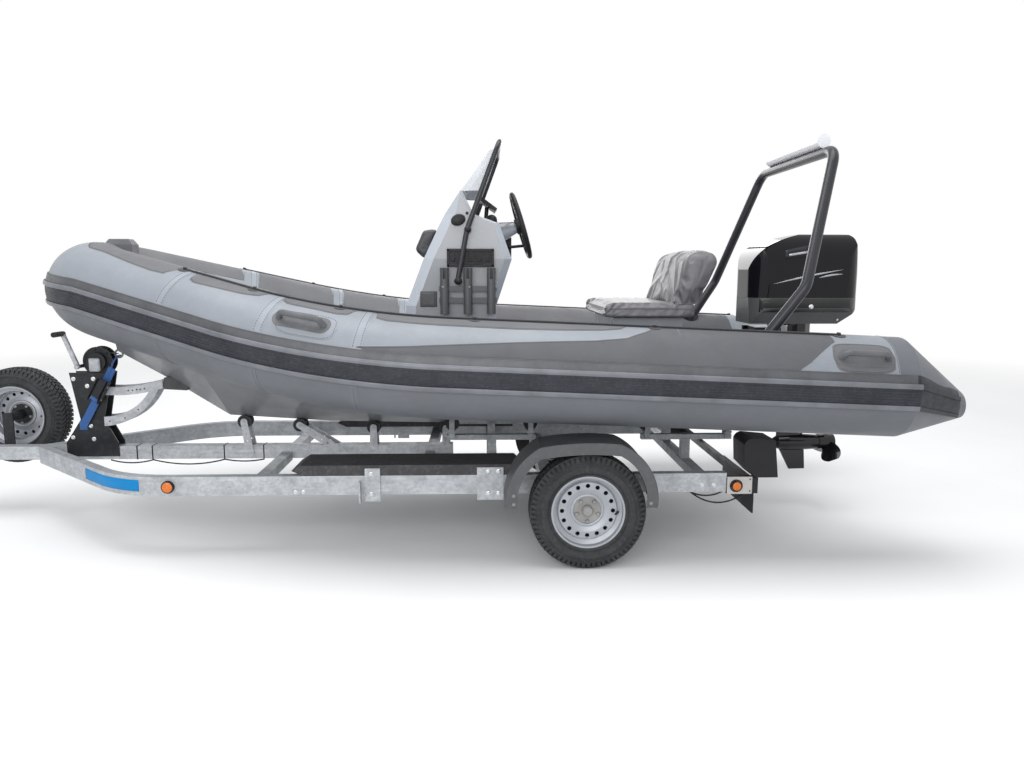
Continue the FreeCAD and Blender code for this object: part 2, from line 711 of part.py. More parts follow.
def hub_body(name):
    """Brake drum, hub flange and grease cap."""
    drum = "-62"
    section = [
        ("0", drum), ("drum_radius", drum), ("drum_radius", "-20"), ("70", "disc_offset - 40"),
        ("70", "disc_offset - 8.3"), ("28", "disc_offset - 8.3"), ("28", "disc_offset + 14"),
        ("22", "disc_offset + 24"), ("0", "disc_offset + 24"),
    ]
    body = new_body(name)
    profile = sketch(body, name + "_section", "XY_Plane", [section])
    revolve(body, name + "_turned", profile, "V_Axis")
    return body


def wheel(side, sign):
    """Tyre, rim and hub on one side of the trailer. The disc faces outward."""
    for label, maker in (("tyre", tyre_body), ("rim", rim_body), ("hub", hub_body)):
        body = maker("%s_%s" % (label, side))
        flip = None if sign > 0 else ((0, 0, 1), 180)
        place(body, "wheel_station", "%d * wheel_track" % sign, "tyre_radius", flip)
        piece("%s_%s" % (label, side), body)


wheel("port", 1)
wheel("starboard", -1)


# Mudguards and walkways

def guard_form(name, inset, drop, depth):
    """The mudguard's arched outline, drawn in by an inset, with its feet lowered by a drop."""
    foot = "tyre_radius + fender_foot - (%s)" % drop
    body = plate(name, "XZ_Plane", [[
        ("wheel_station + fender_front - (%s)" % inset, foot, "340 - (%s)" % inset, -1),
        ("wheel_station + 240", "fender_top - 14 - (%s)" % inset, "1400 - (%s)" % inset, -1),
        ("wheel_station - 150", "fender_top - (%s)" % inset, "300 - (%s)" % inset, -1),
        ("wheel_station - fender_rear + (%s)" % inset, foot)]], depth)
    return body


def mudguard():
    """An arched shell with a flat crown over the wheel, bolted to the rail, with an outer skirt."""
    depth = "(fender_outer - rail_outer)"
    outside = place(guard_form("fender_outside", "0", "0", depth), y="rail_outer + %s / 2" % depth)
    inside = place(guard_form("fender_inside", "fender_sheet", "5", depth),
                   y="rail_outer + %s / 2 - fender_sheet" % depth)
    opening = place(guard_form("fender_opening", "fender_skirt", "5", depth),
                    y="rail_outer + %s / 2 + fender_skirt" % depth)
    return cut("mudguard", outside, inside, opening)


PORT_GUARD = mudguard()
piece("mudguards", group("mudguards", PORT_GUARD, mirrored("guard_mirror", PORT_GUARD)))


def walkway():
    """A ribbed plank on the rail, with a wedge at each end."""
    foot = "rail_base + rail_height"
    top = foot + " + plank_thick"
    body = plate("walkway_plank", "XZ_Plane", [[
        ("plank_rear", foot), ("plank_front - 60", foot), ("plank_front", foot + " + plank_thick / 2"),
        ("plank_front - 45", top), ("plank_rear + 30", top), ("plank_rear", foot + " + plank_thick / 2")]],
        "plank_width")
    return place(body, y="rail_outer - plank_width / 2")


PORT_PLANK = walkway()
piece("walkways", group("walkways", PORT_PLANK, mirrored("plank_mirror", PORT_PLANK)))


# Collar

def collar_corners():
    """The aft end and the two corners of the tube's axis on the port side."""
    aft = V(size("collar_cone_start"), size("collar_half_beam"), size("collar_aft_height"))
    knee = V(size("collar_knee"), size("collar_half_beam"), size("collar_knee_height"))
    nose = V(size("collar_nose"), size("collar_nose_half"), size("collar_nose_height"))
    return aft, knee, nose


def collar_edges():
    """The tube's axis in three stretches: the straight run aft, the shoulder and half of the bow."""
    aft, knee, nose = collar_corners()
    back, ahead = (aft - knee).normalize(), (nose - knee).normalize()
    run = size("collar_knee_run")
    knee_start, knee_end, nose_start = knee + back * run, knee + ahead * run, nose - ahead * nose.y
    return {
        "aft": [Part.makeLine(aft, knee_start)],
        "shoulder": [turn_arc(knee_start, knee, knee_end)],
        "bow": [Part.makeLine(knee_end, nose_start), turn_arc(nose_start, nose, V(nose.x, 0, nose.z))],
    }


COLLAR_EDGES = collar_edges()


def collar_frame(stretch, share, angle):
    """Axis point, direction along the tube and outward direction, at an angle above level outboard.

    The share runs from 0 to 1 over the first edge of the stretch, from its aft end."""
    edge = COLLAR_EDGES[stretch][0]
    at = edge.FirstParameter + share * (edge.LastParameter - edge.FirstParameter)
    along = edge.tangentAt(at)
    level = V(0, 0, 1).cross(along).normalize()
    turn = math.radians(angle)
    return edge.valueAt(at), along, level * math.cos(turn) + along.cross(level) * math.sin(turn)


def cone_tip():
    return V(size("collar_cone_end"), size("collar_half_beam"), size("collar_tip_height"))


def stern_cone(grow):
    """The cone from the straight tube to its blunt tip."""
    aft, along, outward = collar_frame("aft", 0, 0)
    large = Part.Wire(Part.makeCircle(size("collar_radius") + grow, aft, along))
    small = Part.Wire(Part.makeCircle(size("collar_tip_radius") + grow, cone_tip(), V(1, 0, 0)))
    return Part.makeLoft([small, large], True, True)


def collar_shapes(grow):
    """Aft tube with its cone, shoulder and whole bow, each grown by a clearance."""
    radius = size("collar_radius") + grow
    rear = tube_along(COLLAR_EDGES["aft"], radius).fuse(stern_cone(grow))
    nose = tube_along(COLLAR_EDGES["bow"], radius)
    return rear, tube_along(COLLAR_EDGES["shoulder"], radius), nose.fuse(nose.mirror(V(), V(0, 1, 0)))


def collar():
    rear, shoulder, nose = collar_shapes(0)
    port_aft = piece("collar_port_aft", solid("collar_aft", rear))
    port_fore = piece("collar_port_fore", solid("collar_fore", shoulder))
    piece("collar_bow", solid("collar_bow", nose.removeSplitter()))
    piece("collar_starboard_fore", mirrored("collar_fore_mirror", port_fore))
    piece("collar_starboard_aft", mirrored("collar_aft_mirror", port_aft))


def collar_clearance():
    """The whole collar grown by the seam gap, to cut what seats on it."""
    rear, shoulder, nose = collar_shapes(size("seam_gap"))
    whole = nose
    for part in (rear, shoulder):
        whole = whole.fuse(part).fuse(part.mirror(V(), V(0, 1, 0)))
    return solid("collar_clearance", whole)


collar()
COLLAR_SPACE = collar_clearance()


def collar_shell(name, shape, thick):
    """What a shape covers of the collar's skin, to a thickness."""
    skin = {key: tube_along(edges, size("collar_radius") + thick) for key, edges in COLLAR_EDGES.items()}
    return skin[name].common(shape)


# Rubbing strake
# Columns: from and to, in degrees above level outboard, and how far it stands off the tube
STRAKE_BANDS = (
    (-17.5, -12.5, "ridge_proud"),
    (-12.5, 5.5, "strake_thick"),
    (5.5, 10.5, "ridge_proud"),
    (10.5, 20.5, "strip_thick"),
)


def strake_section(centre, radius, spread):
    """The strake's outline about a place of the tube's axis, upright across the boat."""
    def spot(angle, reach):
        turn = math.radians(angle * spread)
        return centre + V(0, math.cos(turn), math.sin(turn)) * reach

    def arc(start, end, reach):
        return Part.Arc(spot(start, reach), spot((start + end) / 2, reach), spot(end, reach)).toShape()

    root = radius - size("strake_thick")
    first, last = STRAKE_BANDS[0][0], STRAKE_BANDS[-1][1]
    edges, here = [], spot(first, root)
    for start, end, proud in STRAKE_BANDS:
        reach = radius + size(proud)
        edges += [Part.makeLine(here, spot(start, reach)), arc(start, end, reach)]
        here = spot(end, reach)
    edges += [Part.makeLine(here, spot(last, root)), arc(last, first, root)]
    return Part.Wire(edges)


def rub_strake():
    """A ribbed band between two ridges, round the whole collar and along its cones."""
    radius = size("collar_radius")
    aft = collar_corners()[0]
    start = strake_section(aft, radius, 1)
    path = Part.Wire([edge for stretch in ("aft", "shoulder", "bow") for edge in COLLAR_EDGES[stretch]])
    sweep = Part.BRepOffsetAPI.MakePipeShell(path)
    sweep.setBiNormalMode(V(0, 0, 1))
    sweep.add(start, False, False)
    sweep.build()
    sweep.makeSolid()
    share = size("strake_cone_share")
    end_centre = aft + (cone_tip() - aft) * share
    end_radius = radius + (size("collar_tip_radius") - radius) * share
    tail = Part.makeLoft([strake_section(end_centre, end_radius, size("strake_spread")), start], True, True)
    port = sweep.shape().fuse(tail).cut(COLLAR_SPACE.Shape)
    return solid("rub_strake", port.fuse(port.mirror(V(), V(0, 1, 0))))


DOC.recompute()
piece("rub_strake", rub_strake())


# Grab handles, lifelines and bow cleat
# Columns: stretch of the tube, share of its length, degrees above level
HANDLES = (("aft", 0.119, 38), ("shoulder", 0.635, 43))


def handle(stretch, share, angle):
    """A moulded grip on a rounded patch that follows the tube."""
    length, width, thick = size("handle_length"), size("handle_width"), size("patch_thick")
    radius, height = size("collar_radius"), size("handle_height")
    foot = size("handle_length / 2 - handle_grip * 2")
    prism = Part.makeBox(length - width, width, 2 * width, V(-(length - width) / 2, -width / 2, -width))
    for end in (-1, 1):
        prism = prism.fuse(Part.makeCylinder(width / 2, 2 * width,
                                             V(end * (length - width) / 2, 0, -width)))
    grip = bent_tube([V(-foot, 0, -thick), V(-foot + height / 2, 0, height),
                      V(foot - height / 2, 0, height),
                      V(foot, 0, -thick)], size("handle_bend"), size("handle_grip"))
    centre, along, outward = collar_frame(stretch, share, angle)
    spot = centre + outward * radius
    pad_shell = collar_shell(stretch, set_at(prism, spot, along, outward), thick)
    return pad_shell.fuse(set_at(grip, spot, along, outward)).cut(COLLAR_SPACE.Shape)


def grab_handles():
    handles = []
    for stretch, share, angle in HANDLES:
        grip = handle(stretch, share, angle)
        handles += [grip, grip.mirror(V(), V(0, 1, 0))]
    return solid("grab_handles", Part.makeCompound(handles))


piece("grab_handles", grab_handles())

# Columns: stretch of the tube, share of its length
LINE_PATCHES = (("aft", 0.148), ("aft", 0.56), ("aft", 0.955), ("shoulder", 0.52), ("shoulder", 0.97),
                ("bow", 0.45))


def line_direction(stretch, share):
    """Which way the rope lies from the tube's axis: it turns with the shoulder."""
    outward = collar_frame("aft", 0, size("line_angle"))[2]
    edge = COLLAR_EDGES["shoulder"][0]
    turned = {"aft": 0, "shoulder": share, "bow": 1}[stretch]
    turn = math.degrees(edge.LastParameter - edge.FirstParameter) * turned
    return FreeCAD.Rotation(edge.Curve.Axis, turn).multVec(outward)


def lifeline():
    """A rope along the top of the tube, drawn through an eye on each patch."""
    radius, rope, thick = size("collar_radius"), size("line_radius"), size("patch_thick")
    reach = radius + size("seam_gap") + rope
    first = collar_frame(LINE_PATCHES[0][0], LINE_PATCHES[0][1], 0)[0]
    last = collar_frame(LINE_PATCHES[-1][0], LINE_PATCHES[-1][1], 0)[0]
    shoulder = COLLAR_EDGES["shoulder"][0]
    edges = [Part.makeLine(first, shoulder.valueAt(shoulder.FirstParameter)), shoulder,
             Part.makeLine(shoulder.valueAt(shoulder.LastParameter), last)]
    parts = [tube_along(edges, rope, line_direction("aft", 0) * reach)]
    for stretch, share in LINE_PATCHES:
        centre = collar_frame(stretch, share, 0)[0]
        outward = line_direction(stretch, share)
        skin = centre + outward * radius
        disc = Part.makeCylinder(size("line_patch"), 2 * size("line_patch"),
                                 skin - outward * size("line_patch"),
                                 outward)
        parts.append(collar_shell(stretch, disc, thick))
        parts.append(Part.makeCylinder(size("line_eye"), 2 * rope + thick, skin, outward))
    return solid("lifeline", parts[0].multiFuse(parts[1:]).cut(COLLAR_SPACE.Shape))


PORT_LINE = lifeline()
piece("lifelines", group("lifelines", PORT_LINE, mirrored("lifeline_mirror", PORT_LINE)))


def bow_cleat():
    """A low tapered block on top of the bow tube."""
    aft, knee, nose = collar_corners()
    length, width, height = size("cleat_length"), size("cleat_width"), size("cleat_height")
    back = size("cleat_back")
    base = nose.z + math.sqrt(size("collar_radius") ** 2 - back ** 2)

    def level(share, z):
        half, side = length * share / 2, width * share / 2
        x = nose.x - back
        return Part.makePolygon([V(x - half, -side, z), V(x + half, -side, z), V(x + half, side, z),
                                 V(x - half, side, z), V(x - half, -side, z)])

    block = Part.makeLoft([level(1, base - height), level(1, base + height / 3), level(0.7, base + height)],
                          True, True)
    return solid("bow_cleat", block.cut(COLLAR_SPACE.Shape))


piece("bow_cleat", bow_cleat())


# Hull
# Columns: station, keel above the keel's lowest point, chine half width and height above that point,
# edge half width, deck above the deck's height at the stern
HULL_STATIONS = (
    ("transom_face", 0, 610, 220, 650, 0),
    ("-300", 5, 610, 235, 650, 18),
    ("300", 17, 575, 275, 640, 53),
    ("900", 57, 400, 350, 450, 148),
    ("1250", 280, 220, 455, 300, 248),
    ("1540", 445, 30, 525, 60, 298),
)


def hull_loft():
    """V sections from the transom to the stem."""
    sections = []
    keel, deck = size("keel_height"), size("deck_height")
    for station, keel_rise, chine, chine_rise, edge, deck_rise in HULL_STATIONS:
        x = size(station)
        bottom = V(x, 0, keel + keel_rise)
        sections.append(Part.makePolygon([
            bottom, V(x, chine, keel + chine_rise), V(x, edge, deck + deck_rise),
            V(x, -edge, deck + deck_rise), V(x, -chine, keel + chine_rise), bottom]))
    return Part.makeLoft(sections, True, True)


HULL_SPACE = solid("hull_space", hull_loft())


def keel_at(x):
    """Height of the keel line at a station, from the table of hull sections."""
    spots = [(size(row[0]), size("keel_height") + row[1]) for row in HULL_STATIONS]
    for (x0, z0), (x1, z1) in zip(spots[:-1], spots[1:]):
        if x0 <= x <= x1:
            return z0 + (z1 - z0) * (x - x0) / (x1 - x0)
    return spots[0][1]


def bow_eye_centre():
    x = size("eye_station")
    return V(x, 0, keel_at(x) - size("eye_drop"))


def hull():
    """The loft, the transom board and the towing eye, trimmed where the collar seats."""
    board = plate("transom_board", "YZ_Plane", [[
        ("-transom_foot", "deck_height - 2"), ("transom_foot", "deck_height - 2"),
        ("transom_foot - 30", "transom_top - 60"), ("transom_half", "transom_top"),
        ("-transom_half", "transom_top"), ("-transom_foot + 30", "transom_top - 60")]],
        "transom_thick", "transom_face + transom_thick / 2")
    eye = Part.makeTorus(size("eye_radius"), size("eye_wire"), bow_eye_centre(), V(0, 1, 0))
    whole = fuse("hull_whole", solid("hull_loft", hull_loft()), board, solid("bow_eye", eye))
    return cut("hull", whole, COLLAR_SPACE)


piece("hull", hull())


# Console
# Columns: height above the deck, front, rear, half width, chamfer of the front and rear corners
CONSOLE_LEVELS = (
    (-60, -140, -690, 330, 60, 40),
    (416, -195, -697, 330, 60, 40),
    (673, -294, -783, 330, 60, 40),
    (867, -388, -712, 325, 60, 30),
    (916, -414, -574, 323, 60, 25),
    (1041, -501, -509, 310, 3, 3),
)


def octagon(x_front, x_rear, half, front, rear, z):
    """A level outline with chamfered corners."""
    corners = [
        (x_front, -half + front), (x_front, half - front), (x_front - front, half), (x_rear + rear, half),
        (x_rear, half - rear), (x_rear, -half + rear), (x_rear + rear, -half), (x_front - front, -half)]
    return Part.makePolygon([V(x, y, z) for x, y in corners + corners[:1]])


def console_loft(levels, inset, top_inset):
    """Levels of the console's table, drawn in by a wall."""
    deck = size("deck_height")
    wires = []
    for height, front, rear, half, chamfer, rear_chamfer in levels:
        z = deck + height - (top_inset if height == levels[-1][0] else 0)
        wires.append(octagon(front - inset, rear + inset, half - inset,
                             min(chamfer, (front - rear) / 2 - 1),
                             rear_chamfer, z))
    return Part.makeLoft(wires, True, True)


def console():
    """A hollow moulding with a recessed hatch, and the boot of the steering column."""
    wall = size("console_wall")
    outside = solid("console_outside", console_loft(CONSOLE_LEVELS, 0, 0))
    inside = solid("console_inside", console_loft(CONSOLE_LEVELS[:4], wall, wall))
    hatch = box("console_hatch", "-372", "console_half - 4", "deck_height + 410", "95", "10", "88")
    foot = V(size("helm_station"), 0, size("helm_height")) + helm_axis() * size("helm_hub_depth + seam_gap")
    boot = solid("helm_boot", Part.makeCone(34, 62, size("helm_reach - helm_hub_depth + 8"), foot,
                                            helm_axis()))
    return cut("console", fuse("console_whole", cut("console_shell", outside, inside), boot), hatch,
               HULL_SPACE)


def helm_axis():
    """From the steering wheel into the console."""
    rake = math.radians(size("helm_rake"))
    return V(math.cos(rake), 0, -math.sin(rake))


piece("console", console())

# Columns: height above the deck, front, rear, half width, chamfer of the front corners
SCREEN_LEVELS = (
    (1041.3, -501, -612, 305, 45),
    (1180, -603, -664, 296, 40),
    (1262, -664, -690, 290, 20),
)


def windscreen():
    """A raked clear sheet whose wings turn back to the rail."""
    deck, sheet = size("deck_height"), size("screen_sheet")
    outer, inner = [], []
    for height, front, rear, half, chamfer in SCREEN_LEVELS:
        outer.append(octagon(front, rear, half, chamfer, 0.5, deck + height))
        inner.append(octagon(front - sheet, rear - 60, half - sheet, chamfer, 0.5, deck + height))
    inner = Part.makeLoft(inner, True, True)
    return solid("windscreen", Part.makeLoft(outer, True, True).cut(inner))


piece("windscreen", windscreen())


def screen_rail():
    """A hoop round the windscreen, with two standoffs on each side of the console."""
    radius = size("screen_rail_radius")
    side = size("console_half + rail_standoff + screen_rail_radius")
    deck = size("deck_height")
    half = [V(-485, side, deck + 553), V(-537, side, deck + 828), V(-716, side - 40, deck + 1306)]
    corners = half + [V(spot.x, -spot.y, spot.z) for spot in reversed(half)]
    hoop = bent_tube(corners, size("screen_rail_bend"), radius)
    parts = [hoop]
    for sign in (1, -1):
        low = V(-485, sign * side, deck + 553)
        parts.append(Part.makeSphere(radius * 1.4, low))
        for spot in (low, V(-537, sign * side, deck + 828)):
            inboard = V(0, -sign, 0)
            parts.append(Part.makeCylinder(8, side - size("console_half"), spot, inboard))
    return solid("screen_rail", hoop.multiFuse(parts[1:]))


piece("screen_rail", screen_rail())


def rod_holders():
    """Three tubes on the console's port side, held by two bars."""
    radius, wall, reach = size("holder_radius"), size("holder_wall"), size("holder_reach")
    y = size("console_half") + reach
    top, bottom = size("holder_top"), size("holder_bottom")
    stations = [size("holder_first") - number * size("holder_spacing") for number in range(3)]
    whole = None
    for level in (top - 128, bottom + 60):
        bar = Part.makeBox(stations[0] - stations[2] + 60, reach, 30,
                           V(stations[2] - 30, size("console_half"), level))
        whole = bar if whole is None else whole.fuse(bar)
    for x in stations:
        whole = whole.fuse(Part.makeCylinder(radius, top - bottom, V(x, y, bottom)))
    for x in stations:
        whole = whole.cut(Part.makeCylinder(radius - wall, top - bottom - 10, V(x, y, bottom + 10)))
        whole = whole.cut(Part.makeBox(14, radius + 1, 60, V(x - 7, y, top - 60)))
    return solid("rod_holders", whole)


piece("rod_holders", rod_holders())
piece("side_pocket", box("side_pocket", "-684", "console_half", "deck_height + 630", "257", "16", "98"))


def console_cushion():
    """A padded rest on the console's sloping front."""
    body = plate("cushion_pad", "XZ_Plane", [[
        ("0", "0"), ("cushion_depth", "20"), ("cushion_depth", "150"), ("0", "185")]], "400")
    round_edges(body, "cushion_round", "18", lambda spot, along: spot.x > size("cushion_depth") / 2)
    (low, low_front), (high, high_front) = (row[:2] for row in CONSOLE_LEVELS[2:4])
    slope = math.degrees(math.atan2(low_front - high_front, high - low))
    body.Placement = FreeCAD.Placement(V(low_front + 0.4, 0, size("deck_height") + low),
                                       FreeCAD.Rotation(V(0, 1, 0), -slope))
    return body


piece("console_cushion", console_cushion())


def dash_fittings():
    """Compass, chart display and throttle on the dash."""
    dash = V(size("dash_station"), 0, size("deck_height + dash_rise"))
    screen = V(size("display_station"), size("display_offset"), size("deck_height + display_rise"))
    compass = Part.makeCylinder(36, 16, dash + V(0, 150, -7), V(-0.3, 0, 1))
    compass = compass.fuse(Part.makeSphere(32, dash + V(-5, 150, 9)))
    tilt = FreeCAD.Rotation(V(0, 1, 0), -36)
    display = Part.makeBox(118, 190, 22, V(-59, -95, -11))
    display.Placement = FreeCAD.Placement(screen, tilt)
    neck = Part.makeCylinder(12, 84, screen + V(12, 0, -size("display_neck")), V(-0.08, 0, 1))
    throttle = Part.makeBox(60, 55, 120, V(-60, -27, -60))
    throttle = throttle.fuse(bent_tube([V(-40, 20, 0), V(-40, 46, 0), V(-160, 46, 12)], 12, 9))
    throttle = throttle.fuse(Part.makeSphere(17, V(-160, 46, 12)))
    throttle.Placement = place_at("throttle_station", "throttle_offset", "deck_height + throttle_rise")
    parts = [compass, display.fuse(neck), throttle]
    return cut("dash_fittings", solid("dash_parts", Part.makeCompound(parts)),
               solid("dash_space", console_loft(CONSOLE_LEVELS, 0, 0)))


piece("dash_fittings", dash_fittings())


# Helm

def helm_wheel():
    """Padded rim, three spokes and a hub, square to the raked column."""
    ring = DOC.addObject("Part::Torus", "helm_rim")
    bind(ring, Radius1="helm_radius", Radius2="helm_tube")
    hub = rod("helm_hub", "z", "0", "0", "-helm_hub_depth", "45", "helm_hub_depth + 8")
    spokes = []
    for number, angle in enumerate((90, 210, 330)):
        spoke = box("helm_spoke_%d" % number, "0", "0", "-8", "helm_radius", "30", "9")
        turn = math.radians(angle)
        spoke.Placement = FreeCAD.Placement(V(15 * math.sin(turn), -15 * math.cos(turn), -8),
                                            FreeCAD.Rotation(V(0, 0, 1), angle))
        spokes.append(spoke)
    whole = fuse("helm_whole", ring, hub, *spokes)
    holder = group("helm_holder", whole)
    holder.Placement = FreeCAD.Placement(V(), FreeCAD.Rotation(V(0, 1, 0), size("helm_rake") - 90))
    return place(holder, "helm_station", "0", "helm_height")


piece("helm_wheel", helm_wheel())


# Seat

def bench_seat():
    body = plate("seat_cushion", "XZ_Plane", [[
        ("bench_back", "bench_height + seam_gap"), ("bench_front", "bench_height + seam_gap"),
        ("bench_front", "bench_height + cushion_thick"), ("bench_back", "bench_height + cushion_thick")]],
        "2 * bench_half")
    round_edges(body, "seat_round", "cushion_round", lambda spot, along: spot.z > size("bench_height") + 1)
    return body


def backrest():
    """A tall rest under a loose domed cover."""
    foot = "bench_height + cushion_thick + seam_gap"
    body = plate("backrest", "XZ_Plane", [[
        ("bench_back + 105", foot), ("bench_back + 40", "back_height - 46", "62", -1),
        ("bench_back - 20", "back_height"), ("bench_back - 90", "back_height", "36", -1),
        ("bench_back - 122.6", "back_height - 50"), ("bench_back - 15", foot)]], "2 * back_half")
    round_edges(body, "back_round", "back_round",
                lambda spot, along: abs(abs(spot.y) - size("back_half")) < 1 and spot.z > size(foot) + 1)
    return body


piece("bench_base", cut(
    "bench_base",
    box("bench_box", "bench_back + bench_inset", "-bench_half + bench_inset", "deck_height - 40",
        "bench_front - bench_back - 2 * bench_inset", "2 * bench_half - 2 * bench_inset",
        "bench_height - deck_height + 40"),
    HULL_SPACE))
piece("bench_seat", bench_seat())
piece("bench_backrest", backrest())


# Arch and its lamp

def arch_corners():
    """Foot, knee and top corner of the port leg."""
    half, foot_x = size("arch_foot_half"), size("arch_foot")
    aft, knee, nose = collar_corners()
    axis_z = aft.z + (knee.z - aft.z) * (foot_x - aft.x) / (knee.x - aft.x)
    inboard = aft.y - half
    skin = axis_z + math.sqrt(size("collar_radius") ** 2 - inboard ** 2)
    return [V(foot_x, half, skin - size("arch_tube")), V(size("arch_knee"), size("arch_knee_half"),
                                                         size("arch_knee_height")),
            V(size("arch_top"), size("arch_top_half"), size("arch_height"))]


def arch():
    """One tube bent at the knees and top corners, with a round foot on each air tube."""
    half = arch_corners()
    corners = half + [V(spot.x, -spot.y, spot.z) for spot in reversed(half)]
    hoop = bent_tube(corners, size("arch_bend"), size("arch_tube"))
    parts = []
    for sign in (1, -1):
        foot = V(half[0].x, sign * half[0].y, half[0].z)
        disc = Part.makeCylinder(size("arch_foot_disc"), size("arch_tube") + 12, foot)
        parts.append(disc)
    return cut("roll_arch", solid("arch_tubes", hoop.multiFuse(parts)), COLLAR_SPACE)


piece("roll_arch", arch())
piece("arch_lamp", rod("arch_lamp", "y", "arch_top", "-lamp_half",
                       "arch_height + arch_tube + lamp_radius + seam_gap",
                       "lamp_radius", "2 * lamp_half"))


# Outboard

TILT = "(transom_top + tilt_rise)"


def clamp_bracket():
    """The pair of clamp arms over the transom."""
    arm = plate("clamp_arm", "XZ_Plane", [[
        ("transom_face", "transom_top - 245"), ("transom_face", "transom_top"),
        ("transom_face + transom_thick", "transom_top"),
        ("transom_face + transom_thick", "transom_top - 120"),
        ("transom_face + transom_thick + 14", "transom_top - 120"),
        ("transom_face + transom_thick + 14", TILT + " + 30"),
        ("transom_face - 10", TILT + " + 30"), ("transom_face - 60", TILT + " - 40"),
        ("transom_face - 30", "transom_top - 245")]], "clamp_arm")
    port = place(arm, y="clamp_half + clamp_arm / 2")
    return group("clamp_bracket", port, mirrored("clamp_mirror", port))


piece("clamp_bracket", clamp_bracket())

MOUNT_LOW = "(cowl_base - 475)"


def swivel_bracket():
    """The block between the clamp arms that carries the steering tube."""
    tube = rod("swivel_tube", "z", "steer_axis", "0", MOUNT_LOW + " + 28.3", "swivel_tube", "432")
    block = box("swivel_block", "steer_axis", "-60", TILT + " - 30", "tilt_station - steer_axis + 20",
                "120", "60")
    pin = rod("tilt_pin", "y", "tilt_station", "-(clamp_half - seam_gap)", TILT, "tilt_pin",
              "2 * (clamp_half - seam_gap)")
    bore = rod("swivel_bore", "z", "steer_axis", "0", MOUNT_LOW, "steer_pin + seam_gap", "520")
    return cut("swivel_bracket", fuse("swivel_whole", tube, block, pin), bore)


piece("swivel_bracket", swivel_bracket())


def motor_leg():
    """Midsection, teardrop plate, torpedo and skeg, with the steering pivot."""
    mid = plate("motor_mid", "XY_Plane", [[
        ("motor_axis + 18", "-40"), ("motor_axis + 18", "40"), ("motor_axis - 5", "55"),
        ("motor_axis - 55", "52"), ("motor_axis - 98", "16"), ("motor_axis - 98", "-16"),
        ("motor_axis - 55", "-52"), ("motor_axis - 5", "-55")]], "cowl_base - plate_height")
    place(mid, z="(cowl_base + plate_height) / 2")
    chin = plate("motor_chin", "XY_Plane", [[
        ("motor_axis + 17", "-40"), ("motor_axis + 44", "-30", "36", -1), ("motor_axis + 44", "30"),
        ("motor_axis + 17", "40")]], MOUNT_LOW + " - plate_height")
    place(chin, z="(%s + plate_height) / 2" % MOUNT_LOW)
    strut = plate("motor_strut", "XY_Plane", [[
        ("motor_axis + 62", "-8", "8.2", -1), ("motor_axis + 62", "8"), ("motor_axis + 10", "24"),
        ("motor_axis - 60", "20"), ("motor_axis - 95", "4"), ("motor_axis - 95", "-4"),
        ("motor_axis - 60", "-20"),
        ("motor_axis + 10", "-24")]], "plate_height - shaft_height")
    place(strut, z="(plate_height + shaft_height) / 2")
    fin = plate("motor_plate", "XY_Plane", [[
        ("motor_axis + 100", "-22", "23", -1), ("motor_axis + 100", "22"), ("motor_axis + 10", "74"),
        ("motor_axis - 180", "95"), ("motor_axis - 250", "70"), ("motor_axis - 250", "-70"),
        ("motor_axis - 180", "-95"), ("motor_axis + 10", "-74")]], "10")
    place(fin, z="plate_height + 5")
    torpedo = new_body("torpedo")
    profile = sketch(torpedo, "torpedo_side", "XY_Plane", [[
        ("torpedo_end", "0"), ("torpedo_end", "propeller_hub - 4"), ("motor_axis - 90", "50"),
        ("motor_axis", "52"),
        ("motor_axis + 60", "42"), ("motor_axis + 90", "22"), ("motor_axis + 99", "0")]])
    revolve(torpedo, "torpedo_turned", profile, "H_Axis")
    place(torpedo, z="shaft_height")
    skeg = plate("motor_skeg", "XZ_Plane", [[
        ("motor_axis + 60", "shaft_height - 20"), ("motor_axis + 38", "shaft_height - 60"),
        ("motor_axis - 20", "shaft_height - 171"), ("motor_axis - 118", "shaft_height - 169"),
        ("motor_axis - 107", "shaft_height - 20")]], "12")
    pivot = rod("steer_pivot", "z", "steer_axis", "0", MOUNT_LOW, "steer_pin", "475")
    lower = box("pivot_lower", "motor_axis", "-40", MOUNT_LOW, "steer_axis - motor_axis", "80", "28")
    upper = box("pivot_upper", "motor_axis", "-50", "cowl_base - 14", "steer_axis - motor_axis + 30",
                "100", "14")
    return fuse("motor_leg", mid, chin, strut, fin, torpedo, skeg, pivot, lower, upper)


piece("motor_leg", motor_leg())


def cowl_plan(name, thickness, level):
    """The rounded plan of the cowl, as a thick plate."""
    body = plate(name, "XY_Plane", [[
        ("cowl_rear", "-cowl_half"), ("cowl_front", "-cowl_half"), ("cowl_front", "cowl_half"),
        ("cowl_rear", "cowl_half")]], thickness)
    round_edges(body, name + "_round", "cowl_corner", lambda spot, along: abs(along.z) > 0.9)
    return place(body, z=level)


